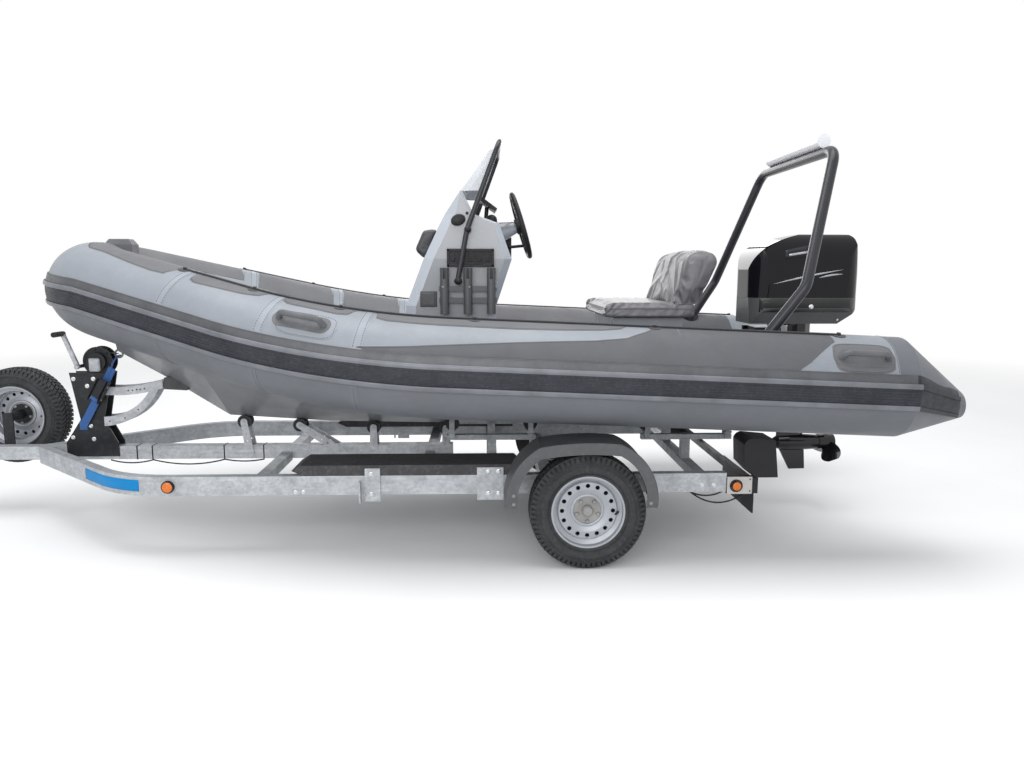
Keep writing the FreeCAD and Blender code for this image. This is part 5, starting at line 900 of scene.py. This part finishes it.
def soft_shell(name, node, look, voxel, inset, rounding=12):
    """A copy of a plain solid, remeshed evenly, rounded and drawn in a little."""
    obj = bpy.data.objects.new(name, NODES[node].data.copy())
    SCENE.collection.objects.link(obj)
    remesh = obj.modifiers.new("remesh", "REMESH")
    remesh.mode, remesh.voxel_size = "VOXEL", voxel
    ease = obj.modifiers.new("ease", "SMOOTH")
    ease.factor, ease.iterations = 0.5, rounding
    shrink = obj.modifiers.new("shrink", "DISPLACE")
    shrink.mid_level, shrink.strength = 0.0, -inset
    obj.data = evaluated(obj)
    obj.modifiers.clear()
    obj.data.materials.clear()
    obj.data.materials.append(MAT[look])
    return obj


def swell(obj, pinned, pressure, slack, cap):
    """Fills a shell with air and lets its cover run a little long, so that it crowns and puckers."""
    rest = [v.co.copy() for v in obj.data.vertices]
    group = obj.vertex_groups.new(name="pinned")
    group.add([v.index for v in obj.data.vertices if pinned(v.co)], 1.0, "REPLACE")
    cloth = obj.modifiers.new("cloth", "CLOTH")
    fabric = cloth.settings
    fabric.quality, fabric.mass, fabric.bending_stiffness = 4, 0.25, 0.4
    fabric.tension_stiffness = fabric.compression_stiffness = 12
    fabric.use_pressure, fabric.uniform_pressure_force = True, pressure
    fabric.shrink_min = -slack
    fabric.vertex_group_mass = "pinned"
    fabric.effector_weights.gravity = 0
    for step in range(1, 21):
        SCENE.frame_set(step)
    swollen = evaluated(obj)
    obj.modifiers.clear()
    for vert, start in zip(swollen.vertices, rest):
        move = vert.co - start
        if move.length > cap:
            vert.co = start + move * (cap / move.length)
    obj.data = swollen
    SCENE.frame_set(1)


def crease(obj, folds, facing):
    """Raises or sinks folds on the faces that look along an axis. A fold is two ends, width and height."""
    mesh = obj.data
    normals = [v.normal.copy() for v in mesh.vertices]
    axis = max(range(3), key=lambda k: abs(facing[k]))
    facing = Vector(facing)
    for vert, normal in zip(mesh.vertices, normals):
        seen = min(1.0, max(0.0, normal.dot(facing) * 2 - 0.3))
        if not seen:
            continue
        rise = 0.0
        for start, end, width, height in folds:
            along, reach = end - start, vert.co - start
            along[axis] = reach[axis] = 0
            share = min(max(reach.dot(along) / along.length_squared, 0), 1)
            off = (reach - along * share).length
            rise += height * math.exp(-(off / width) ** 2) * (1 - 0.6 * share)
        vert.co += normal * rise * seen


def finish_pad(obj, node):
    mesh = obj.data
    mesh.polygons.foreach_set("use_smooth", [True] * len(mesh.polygons))
    smooth = obj.modifiers.new("subdivide", "SUBSURF")
    smooth.levels = smooth.render_levels = 1
    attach(obj, ROOT)
    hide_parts(node)
    return tree_of(mesh)


def piping(name, tree, rays, radius):
    """A welt along the places where rays meet a pad."""
    lift = radius * 0.3
    found = [first_hit(tree, origin, direction, 2.0) for origin, direction in rays]
    spots = [(spot + normal * lift, normal) for spot, normal in found if spot is not None]
    batch = Batch()
    batch.tube([spot for spot, _ in spots], radius, 8)
    return batch.make(name, "vinyl", slot="seat_vinyl"), spots


def bench_seat():
    low, high = corners("bench_seat")
    obj = soft_shell("seat_cushion", "bench_seat", "vinyl", 0.009, 0.004)
    floor, rear = low.z + 0.004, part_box("bench_backrest")[1][0] + 0.01
    swell(obj, lambda co: co.z < floor + 0.012, 2.2, 0.035, 0.014)
    gathers, shoulder, rounded = 15, 0.045, 0.020
    for vert in obj.data.vertices:
        near_front = max(0.0, 1 - (high.x - vert.co.x) / 0.16)
        if near_front > 0 and vert.co.z > low.z + 0.012:
            edge = min(1.0, max(0.0, (abs(vert.co.y) - (high.y - 0.11)) / 0.08))
            turn = math.atan2(vert.co.z - low.z + 0.02, high.x - vert.co.x + 0.03)
            vert.co += vert.normal * (0.0042 * near_front * edge * math.sin(turn * gathers * 2))
        drop = high.z - vert.co.z
        if vert.co.x < rear and drop < shoulder:
            vert.co.z = high.z - max(0.0005, (drop - rounded) * shoulder / (shoulder - rounded))
        vert.co.z = max(vert.co.z, low.z + 0.0005)
    for y in (0.145, -0.145):
        ends = Vector((high.x - 0.04, y, high.z)), Vector((rear + 0.03, y, high.z))
        crease(obj, [(*ends, 0.007, -0.006)], UP)
    tree = finish_pad(obj, "bench_seat")
    level = low.z + 0.052
    rim = [((x, 1.0, level), (0, -1, 0)) for x in spread(low.x + 0.03, high.x - 0.035, 0.02)]
    mirror_of(piping("seat_welt_port", tree, rim, 0.0026)[0])
    front = [((0.0, y, level), (-1, 0, 0)) for y in spread(high.y - 0.04, low.y + 0.04, 0.02)]
    piping("seat_welt_front", tree, front, 0.0026)


# The backrest's folds: where each starts and ends, across and up, then its width and how far it rises.
# The front's places are shares of width and height, the side's metres behind the edge and shares of height
FRONT_FOLDS = (
    (0.03, 0.02, 0.34, 0.90, 0.012, 0.013), (0.05, 0.00, 0.22, 0.75, 0.008, -0.009),
    (0.02, 0.12, 0.14, 0.95, 0.009, 0.010), (0.10, 0.00, 0.50, 0.66, 0.015, -0.012),
    (0.14, 0.00, 0.62, 0.46, 0.016, 0.013), (0.94, 0.12, 0.62, 0.52, 0.020, 0.012),
    (0.96, 0.30, 0.76, 0.86, 0.018, -0.011), (0.88, 0.02, 0.52, 0.20, 0.018, 0.012),
    (0.44, 0.92, 0.52, 0.36, 0.022, 0.010), (0.70, 0.92, 0.60, 0.45, 0.018, -0.010),
    (0.80, 0.02, 0.72, 0.30, 0.014, 0.010), (0.30, 0.00, 0.36, 0.24, 0.012, 0.009),
)
SIDE_FOLDS = ((0.01, 0.05, 0.05, 0.75, 0.008, 0.006), (0.03, 0.02, 0.09, 0.60, 0.008, -0.005))


def backrest():
    low, high = corners("bench_backrest")
    obj = soft_shell("seat_backrest", "bench_backrest", "vinyl", 0.009, 0.005)
    tall, lean = high.z - low.z, 0.085
    for vert in obj.data.vertices:
        rise = max(0.0, (vert.co.z - low.z) / tall)
        vert.co.y *= 1 - 0.085 * rise ** 3
        corner = max(0.0, abs(vert.co.y) / high.y - 0.78) / 0.22
        vert.co.z -= 0.075 * corner ** 2 * rise ** 3
    swell(obj, lambda co: co.z < low.z + 0.02, 2.0, 0.05, 0.018)

    def front(share, rise):
        return Vector((high.x - 0.02 - lean * rise, high.y * (1 - 2 * share), low.z + tall * rise))

    def side(back, rise):
        return Vector((high.x - 0.05 - lean * rise - back, high.y, low.z + tall * rise))

    for place_of, table, facing in ((front, FRONT_FOLDS, (1, 0, 0.25)), (side, SIDE_FOLDS, PORT)):
        crease(obj, [(place_of(*row[:2]), place_of(*row[2:4]), *row[4:]) for row in table], facing)
    foot, rounded = 0.075, 0.036
    for vert in obj.data.vertices:
        rise = vert.co.z - low.z
        if rise < foot:
            rise = max(0.0, rise - rounded) * foot / (foot - rounded)
        vert.co.z = low.z + max(rise, 0.0006)
        vert.co.y = min(max(vert.co.y, low.y - 0.008), high.y + 0.008)
    tree = finish_pad(obj, "bench_backrest")
    for sign, side_name in ((1, "port"), (-1, "starboard")):
        edge = [side(0.012, rise) for rise in spread(0.04, 0.80, 0.04)]
        rays = [((spot.x, sign * 1.0, spot.z), (0, -sign, 0)) for spot in edge]
        _, spots = piping("backrest_welt_" + side_name, tree, rays, 0.0028)
        batch = Batch()
        row = [(spot + Vector((-0.010, 0.001 * sign, 0)), normal) for spot, normal in spots]
        for spot, normal, along in walk(row, 0.011):
            batch.block(frame_at(spot, normal, along), (0.006, 0.0016, 0.0012), 0.0005)
        batch.make("backrest_stitches_" + side_name, "stitch", slot="seat_vinyl", smooth=False)


def console_pad():
    low, high = corners("console_cushion")
    obj = soft_shell("console_pad", "console_cushion", "vinyl_dark", 0.006, 0.002, 60)
    middle = (low + high) / 2
    away, across = Vector((0.87, 0, 0.49)), Vector((-0.49, 0, 0.87))
    swell(obj, lambda co: (co - middle).dot(away) < -0.018, 2.0, 0.0, 0.006)
    tree = finish_pad(obj, "console_cushion")
    rays = []
    half_wide, half_tall, squareness = 0.178, 0.066, 1.25
    for turn in (2 * math.pi * number / 48 for number in range(49)):
        y = max(-1, min(1, squareness * math.cos(turn))) * half_wide
        z = max(-1, min(1, squareness * math.sin(turn))) * half_tall
        rays.append((middle + across * z + Vector((0, y, 0)) + away * 0.3, -away))
    piping("console_pad_welt", tree, rays, 0.0028)


bench_seat()
backrest()
console_pad()


# Bolts, lamps, straps and small fittings

def bolts(name, node, places, size, look="bright"):
    batch = Batch()
    for _, spot, normal in hits(node, places):
        batch.bolt(spot, normal, size, 0.007)
    batch.make(name, look, slot="galvanised")


def disc_lamp(name, x, z, radius):
    """A domed lens in a black ring on a lamp's face."""
    glass, ring = Batch(), Batch()
    turns = [math.radians(a) for a in range(0, 90, 15)]
    dome = [(radius * math.cos(turn), 0.0035 + 0.004 * math.sin(turn)) for turn in turns]
    for _, spot, normal in hits("trailer_lamps", [(x, z)]):
        place = frame_at(spot, normal)
        glass.turned([(radius, -0.0005)] + dome, place, 40)
        ring.turned([(radius + 0.004, -0.001), (radius + 0.004, 0.004), (radius + 0.0005, 0.0048),
                     (radius + 0.0005, -0.001)], place, 40, closed=True)
    glass.make(name, "amber", slot="lamp_case")
    ring.make(name + "_ring", "plastic_black", slot="lamp_case")


def trailer_lighting():
    disc_lamp("side_marker", 0.981, 0.380, 0.0265)
    disc_lamp("rear_marker", -1.940, 0.364, 0.0225)
    pale, dark, red, amber, clear = (Batch() for _ in range(5))
    for side, box, _ in hits("trailer_lamps", [(-1.99, 0.40)]):
        face = frame_at((-1.958, box.y, 0.366), (0, side, 0), AHEAD)
        pale.block(face, (0.132, 0.092, 0.0022), 0.001)
        hole = frame_at((-1.940, box.y, 0.364), (0, side, 0))
        seal = [(0.034, 0.0015), (0.034, 0.0040), (0.0275, 0.0046), (0.0275, 0.0015)]
        dark.turned(seal, hole, 40, closed=True)
        for z in (0.398, 0.336):
            dark.bolt(Vector((-2.012, box.y + 0.0022 * side, z)), (0, side, 0), 0.004, 0.003, False)
        for shift, tall, pane in ((0.045, 0.085, red), (-0.030, 0.055, amber), (-0.078, 0.030, clear)):
            spot, normal = cast("trailer_lamps", (-4.0, side * 0.655, 0.510 + shift), AHEAD)
            pane.block(frame_at(spot - normal * 0.001, normal, PORT), (0.150, tall, 0.0045), 0.002)
    pale.make("rear_marker_plate", "box_pale", slot="lamp_case")
    dark.make("rear_marker_seal", "plastic_black", slot="lamp_case")
    red.make("tail_lens", "red", slot="lamp_case")
    amber.make("indicator_lens", "amber", slot="lamp_case")
    clear.make("reversing_lens", "white_lens", slot="lamp_case")


def frame_fittings():
    rail = "side_rail_port"
    bolts("rail_bolts", rail, [(-1.762, 0.367), (-1.825, 0.367), (0.30, 0.345), (0.34, 0.345)], 0.009)
    bolts("bracket_bolts", "rail_brackets", [(-0.648, 0.450), (-0.648, 0.334), (-0.700, 0.450),
                                             (-0.700, 0.334), (-0.048, 0.334), (-0.048, 0.440)], 0.009)
    bolts("post_bolts", "winch_post", [(1.787, 0.837), (1.672, 0.837), (1.710, 0.795), (1.706, 0.555),
                                       (1.815, 0.486), (1.694, 0.476)], 0.010)
    length = spread(1.530, 1.135, 0.02)
    decal("blank_label", rail, [(x, 0.352) for x in length], [(x, 0.412) for x in length], 4, "label", 0.0008)
    holes = Batch()
    upper = [(1.470, 0.768), (1.445, 0.770), (1.420, 0.774), (1.400, 0.776), (1.375, 0.780)]
    lower = [(1.500, 0.604), (1.420, 0.654), (1.590, 0.585)]
    for _, spot, normal in hits("snubber_arms", upper + lower):
        holes.turned([(0.0046, -0.0005), (0.0046, 0.0004), (0.0030, 0.0005)], frame_at(spot, normal), 18)
    holes.make("arm_holes", "plastic_black", slot="galvanised")
    bands = Batch()
    half_y, low, high, middle = 0.0362, 0.3488, 0.4312, 0.39
    for x in (1.450, 1.360, 0.935, 0.700):
        for y, z, normal, long in ((half_y, middle, (0, 1, 0), 0.083), (-half_y, middle, (0, -1, 0), 0.083),
                                   (0, low, (0, 0, -1), 0.073), (0, high, (0, 0, 1), 0.073)):
            foot = Vector((x, y, z)) - Vector(normal) * 0.0012
            bands.block(frame_at(foot, normal, AHEAD), (0.007, long, 0.0022), 0.0006)
    bands.make("cable_ties", "plastic_black", slot="black_steel")


def wiring():
    """The lamps' lead, tied under the drawbar and looped behind the rail's end."""
    lead = Batch()
    for start, end, drop in (
            ((1.610, 0.030, 0.345), (1.360, 0.030, 0.3445), 0.018),
            ((1.360, 0.030, 0.3445), (0.935, 0.030, 0.3445), 0.028),
            ((0.935, 0.030, 0.3445), (0.700, 0.030, 0.3445), 0.012),
            ((-1.700, 0.742, 0.331), (-1.905, 0.735, 0.345), 0.030),
            ((-1.700, 0.738, 0.331), (-2.050, 0.700, 0.345), 0.075)):
        shares = [k / 16 for k in range(17)]
        lead.tube([Vector(start).lerp(Vector(end), share) + Vector((0, 0, -drop * (4 * share * (1 - share))))
                   for share in shares], 0.0042, 8)
    lead.make("trailer_lead", "plastic_black", slot="black_steel")


def winch_parts():
    """The crank with its grip, and the bolts in the winch's side plate."""
    drum_x, drum_z, crank_y = 1.642, 0.940, 0.0947
    silver, grip, black = Batch(), Batch(), Batch()
    plate = frame_at((drum_x + 0.004, 0.0587, drum_z - 0.017), PORT, AHEAD)
    silver.block(plate, (0.062, 0.078, 0.017), 0.006)
    foot = Vector((drum_x + 0.086, crank_y, drum_z - 0.025))
    head = Vector((drum_x + 0.158, crank_y, drum_z + 0.168))
    along = head - foot
    middle = foot.lerp(head, 0.48) - Vector((0, 0.0088, 0))
    silver.block(frame_at(middle, PORT, along), (along.length * 1.02, 0.024, 0.0176), 0.003)
    nut = frame_at(foot + Vector((0, 0.006, 0)), PORT)
    silver.turned([(0.015, -0.003), (0.015, 0.009), (0.012, 0.012)], nut, 6)
    silver.make("winch_crank", "zinc", slot="galvanised")
    for k in range(9):
        place = frame_at(head + Vector((0, 0.004 + 0.0105 * k, 0)), PORT)
        grip.turned([(0.0143, 0.0), (0.0150, 0.001), (0.0150, 0.006), (0.0143, 0.007)], place, 24)
    grip.make("crank_grip", "plastic_black", slot="rubber")
    circle, plate_y = 0.071, 0.04
    turns = [math.radians(60 * number + 20) for number in range(6)]
    places = [(drum_x + circle * math.cos(turn), drum_z + circle * math.sin(turn)) for turn in turns]
    for _, spot, normal in hits("winch", places, (1,)):
        if spot.y < plate_y:
            black.bolt(spot, normal, 0.006, 0.005)
    black.make("winch_bolts", "black_steel", slot="black_steel")


def strap_ratchet():
    """The ratchet's frame, spindle and handle, over its plain block in the strap."""
    along = Vector((-0.4936, 0, 0.8697)).normalized()
    across = Vector(PORT).cross(along)
    hook, ratchet_from_hook = Vector((1.742, 0.0585, 0.560)), 0.243
    middle = hook + along * ratchet_from_hook
    body, roll, silver = Batch(), Batch(), Batch()
    body.block(frame_at(middle + Vector((0, 0.0008, 0)), PORT, along), (0.1230, 0.0630, 0.0402), 0.004)
    for side in (1, -1):
        cheek = frame_at(middle + across * 0.0300 * side + Vector((0, 0.0035, 0)), PORT, along)
        body.block(cheek, (0.140, 0.004, 0.047), 0.003)
        for shift in (-0.045, 0.040):
            spot = middle + along * shift + across * 0.0318 * side + Vector((0, 0.022, 0))
            silver.turned([(0.0065, 0), (0.0065, 0.0015), (0.0045, 0.003)], frame_at(spot, across * side), 20)
    handle = frame_at(middle + along * 0.020 + Vector((0, 0.0445, 0)), (0.16, 1, 0.10), along)
    body.block(handle, (0.118, 0.046, 0.0055), 0.003)
    spindle = middle - along * 0.045 + Vector((0, 0.0385, 0))
    roll.tube([spindle - across * 0.021, spindle + across * 0.021], 0.0135, 24)
    body.make("ratchet_frame", "black_steel", slot="strap_blue")
    roll.make("ratchet_roll", "blue", slot="strap_blue")
    silver.make("ratchet_rivets", "bright", slot="strap_blue")


def mudguard_trim():
    """A raised lip round each guard's arch, and its fixing bolts."""
    lip, wheel_x, wheel_z, edge_y = Batch(), -1.101, 0.300, 0.999
    for side in (1, -1):
        rim = []
        for turn in (math.radians(-4 + 188 * k / 60) for k in range(61)):
            origin = (wheel_x + 0.9 * math.cos(turn), side * edge_y, wheel_z + 0.9 * math.sin(turn))
            spot, _ = cast("mudguards", origin, (-math.cos(turn), 0, -math.sin(turn)), 0.8)
            if spot is not None:
                rim.append(spot)
        lip.tube(rim, 0.0042, 8)
    lip.make("guard_lip", "guard", slot="guard_plastic")
    bolts("guard_bolts", "mudguards", [(-0.770, 0.350), (-0.770, 0.392), (-1.440, 0.350)], 0.007, "hub")


trailer_lighting()
frame_fittings()
wiring()
winch_parts()
strap_ratchet()
mudguard_trim()


# Outboard: belt round the pan, stripes, vent and its bar, bolts

def outboard():
    """Sheets on both sides of the engine, each between a lower and an upper line."""
    belt, belt_low, belt_high, belt_up = spread(-2.770, -2.225, 0.02), 1.236, 1.314, 0.0016
    sheets = [("belt", "motor_apron", [(x, belt_low) for x in belt], [(x, belt_high) for x in belt], 3,
               "motor_belt", belt_up)]
    stripes = (((-2.299, 1.398), (-2.700, 1.480)), ((-2.560, 1.433), (-2.700, 1.455)))
    for number, ((x0, z0), (x1, z1)) in enumerate(stripes):
        first = [(x0 + (x1 - x0) * k / 16, z0 + (z1 - z0) * k / 16) for k in range(17)]
        second = [(x, z + 0.010 * math.sin(math.pi * (k + 0.5) / 17)) for k, (x, z) in enumerate(first)]
        sheets.append(("stripe_%d" % number, "motor_cowl", first, second, 1, "stripe", 0.0008))
    vent_front, bar_front = -2.36, -2.38
    vent = spread(vent_front, -2.50, 0.02)
    sheets.append(("vent", "motor_cowl", [(x, 1.540 + 0.10 * (vent_front - x)) for x in vent],
                   [(x, 1.590 + 0.22 * (vent_front - x)) for x in vent], 3, "plastic_black", 0.0010))
    bar = [(x, 1.556 + 0.16 * (bar_front - x)) for x in spread(bar_front, -2.49, 0.02)]
    sheets.append(("vent_bar", "motor_cowl", bar, [(x, z + 0.012) for x, z in bar], 1, "stripe", 0.0030))
    batch = Batch()
    for side, label in ((1, "port"), (-1, "starboard")):
        for name, *sheet in sheets:
            decal("cowl_%s_%s" % (name, label), *sheet, side, "engine", "motor_black")
        spot, normal = on("motor_apron", -2.522, 1.268, side)
        batch.bolt(spot + normal * belt_up, normal, 0.011, 0.008)
        spot, normal = on("motor_apron", -2.700, 1.190, side)
        batch.bolt(spot, normal, 0.006, 0.005)
    batch.make("pan_bolts", "bright", "engine", "motor_metal")


outboard()


# Console: oval lamp, panel box, net pocket and the rod holders' screws

def console_parts():
    black, dark, silver = Batch(), Batch(), Batch()
    for side in (1, -1):
        spot, normal = on("console", -0.489, 1.744, side)
        oval = frame_at(spot, normal, (1, 0, -0.35)) @ Matrix.Diagonal((1.35, 1, 1, 1))
        lamp = [(0.030, -0.002), (0.030, 0.014), (0.027, 0.022), (0.018, 0.027), (0.006, 0.028)]
        black.turned(lamp, oval, 36)
        for _, spot, normal in hits("console", [(-0.538, 1.781)], (side,)):
            black.turned([(0.008, -0.002), (0.008, 0.006), (0.005, 0.010)], frame_at(spot, normal), 20)
    spot, normal = on("console", -0.323, 1.316)
    dark.block(frame_at(spot - normal * 0.001, normal, AHEAD), (0.090, 0.086, 0.012), 0.004)
    dark.block(frame_at(spot + normal * 0.0105, normal, AHEAD), (0.072, 0.068, 0.004), 0.003)
    pocket(black)
    for _, spot, normal in hits("rod_holders", [(-0.405, 1.383), (-0.694, 1.383), (-0.550, 1.383)], (1,)):
        silver.turned([(0.006, -0.001), (0.006, 0.002), (0.003, 0.004)], frame_at(spot, normal), 18)
    black.make("console_fittings", "plastic_black", slot="console_grp")
    dark.make("console_box", "plastic", slot="console_grp")
    silver.make("holder_screws", "hub", slot="holder_plastic")


def pocket(black):
    """The side pocket's frame and knobs, and its net of 13 by 5 cords."""
    low, high = corners("side_pocket")
    middle, size = (low + high) / 2, high - low
    face, bar, inset = high.y, 0.014, 0.007
    for x, z, wide, tall in ((middle.x, high.z - inset, size.x, bar), (middle.x, low.z + inset, size.x, bar),
                             (low.x + inset, middle.z, bar, size.z), (high.x - inset, middle.z, bar, size.z)):
        black.block(frame_at((x, face - 0.001, z), PORT, AHEAD), (wide, tall, 0.0055), 0.002)
    for k in range(5):
        knob = frame_at((low.x + size.x * (k + 0.7) / 5.4, face - 0.001, middle.z - 0.012), PORT)
        black.turned([(0.010, 0), (0.010, 0.003), (0.006, 0.006)], knob, 18)
    net = Batch()
    for k in range(13):
        x = low.x + 0.018 + (size.x - 0.036) * k / 12
        net.tube([(x, face + 0.0012, low.z + 0.014), (x + 0.012 * (-1) ** k, face + 0.0045, middle.z),
                  (x, face + 0.0012, high.z - 0.014)], 0.0012, 6)
    for k in range(5):
        z = low.z + 0.018 + (size.z - 0.036) * k / 4
        net.tube([(low.x + 0.014, face + 0.0016, z), (middle.x, face + 0.005, z - 0.004),
                  (high.x - 0.014, face + 0.0016, z)], 0.0012, 6)
    net.make("pocket_net", "rope", slot="holder_plastic")


def rail_joints():
    """Round joints on the screen's tube and its feet."""
    batch = Batch()
    turns = [math.radians(a) for a in range(8, 180, 12)]
    ball = [(0.0195 * math.sin(turn), -0.0195 * math.cos(turn)) for turn in turns]
    for side, spot, _ in hits("screen_rail", [(-0.542, 1.692), (-0.490, 1.414)]):
        centre = Vector((spot.x, spot.y - 0.0125 * side, spot.z))
        batch.turned(ball, frame_at(centre, (0, side, 0)), 28)
    batch.make("screen_rail_joints", "plastic_black", slot="arch_black")


console_parts()
rail_joints()


# Ovals round the grab handles, and stitching round them

def handle_ovals():
    stitches = Batch()
    for name, s0, s1, low, high, look in (("aft", 0.113, 0.416, 20.6, 59.0, "collar_dark"),
                                          ("fore", 2.754, 3.053, 25.0, 56.0, "collar_light")):
        mid_s, mid_t = (s0 + s1) / 2, (low + high) / 2
        half_s, half_t = (s1 - s0) / 2, (high - low) / 2
        edge = []
        for share in (-1 + 2 * k / 32 for k in range(33)):
            edge.append((mid_s + half_s * share, half_t * (1 - abs(share) ** 4) ** 0.25))
        skin("handle_patch_%s_port" % name, [s for s, _ in edge], [(s, mid_t - reach) for s, reach in edge],
             [(s, mid_t + reach + 0.01) for s, reach in edge], look, OVAL_UP, 12)
        path = []
        for turn in (2 * math.pi * k / 96 for k in range(97)):
            along, up = math.cos(turn), math.sin(turn)
            grow = (abs(along) ** 4 + abs(up) ** 4) ** -0.25 * 0.93
            path.append((mid_s + half_s * along * grow, mid_t + half_t * up * grow))
        dashes(stitches, path, OVAL_UP, 0.008, 0.006, 0.0024)
    mirror_of(stitches.make("handle_stitches_port", "stitch", smooth=False))


handle_ovals()


# Camera, floor and lights

def camera():
    """The photograph's view: a wide lens beside the boat, a little above it and looking down."""
    pan, down, roll = math.radians(2.0), math.radians(8.4), math.radians(0.1)
    made = bpy.data.cameras.new("camera")
    made.lens, made.sensor_width = 27, 36
    made.clip_end = 200
    holder = bpy.data.objects.new("camera", made)
    SCENE.collection.objects.link(holder)
    ahead = Vector((-math.sin(pan) * math.cos(down), -math.cos(pan) * math.cos(down), -math.sin(down)))
    turn = ahead.to_track_quat("-Z", "Y").to_matrix().to_4x4()
    holder.matrix_world = Matrix.Translation((-0.635, 4.6, 1.472)) @ turn @ Matrix.Rotation(roll, 4, "Z")
    SCENE.camera = holder


def background_seen(tree):
    """One where the camera, metal or glass sees the background itself."""
    path = tree.nodes.new("ShaderNodeLightPath")
    seen = path.outputs["Is Camera Ray"]
    for kind in ("Is Glossy Ray", "Is Transmission Ray"):
        most = tree.nodes.new("ShaderNodeMath")
        most.operation = "MAXIMUM"
        tree.links.new(seen, most.inputs[0])
        tree.links.new(path.outputs[kind], most.inputs[1])
        seen = most.outputs[0]
    return seen


def stage():
    """A pale floor that fades into the white around it."""
    batch = Batch()
    batch.turned([(60.0, -0.0025), (60.0, -0.0005)], Matrix.Identity(4), 96)
    mesh = bpy.data.meshes.new("floor")
    mesh.from_pydata([tuple(v) for v in batch.verts], [], batch.faces)
    floor = bpy.data.objects.new("floor", mesh)
    SCENE.collection.objects.link(floor)
    n = Nodes("floor", Roughness=0.9)
    n.colour(n.mix(n.ramp(n.noise(0.8, 3), 0, 1, 0.3, 0.7), (0.88, 0.88, 0.87), (0.92, 0.92, 0.91)))
    n.bump(n.noise(40, 3), 0.001, 0.2)
    glow = n.put("ShaderNodeEmission", {}, {"Color": (1, 1, 1, 1), "Strength": 1.0})
    away = n.put("ShaderNodeVectorMath", {0: n.coords}, out="Value", operation="LENGTH")
    fade = n.math("MULTIPLY", n.ramp(away, 0, 1, 4.5, 12.0), background_seen(n.tree))
    blend = n.put("ShaderNodeMixShader", {0: fade, 1: n.bsdf.outputs[0], 2: glow})
    n.tree.links.new(blend, n.tree.nodes["Material Output"].inputs["Surface"])
    mesh.materials.append(n.mat)


def world():
    """Soft pale light from all round, white where it is seen or mirrored."""
    made = bpy.data.worlds.new("world")
    SCENE.world = made
    made.use_nodes = True
    tree = made.node_tree
    soft = tree.nodes["Background"]
    soft.inputs["Color"].default_value = (0.93, 0.96, 1.0, 1)
    soft.inputs["Strength"].default_value = 0.62
    seen = tree.nodes.new("ShaderNodeBackground")
    seen.inputs["Color"].default_value = (1, 1, 1, 1)
    mix = tree.nodes.new("ShaderNodeMixShader")
    tree.links.new(background_seen(tree), mix.inputs[0])
    tree.links.new(soft.outputs[0], mix.inputs[1])
    tree.links.new(seen.outputs[0], mix.inputs[2])
    tree.links.new(mix.outputs[0], tree.nodes["World Output"].inputs["Surface"])


def softbox(name, place, size, power):
    """A rectangular lamp aimed at the boat's middle."""
    lamp = bpy.data.lights.new(name, "AREA")
    lamp.shape, lamp.size, lamp.size_y, lamp.energy = "RECTANGLE", size[0], size[1], power
    holder = bpy.data.objects.new(name, lamp)
    SCENE.collection.objects.link(holder)
    ahead = (Vector((0, 0, 0.8)) - Vector(place)).normalized()
    holder.matrix_world = Matrix.Translation(place) @ ahead.to_track_quat("-Z", "Y").to_matrix().to_4x4()


SCENE.view_settings.view_transform = "Standard"
camera()
stage()
world()
softbox("overhead", (0, 0.8, 6.5), (7, 4), 330)
softbox("port_side", (1.0, 7.0, 3.2), (7, 3), 230)
softbox("starboard_side", (-1.0, -7.0, 3.2), (7, 3), 160)
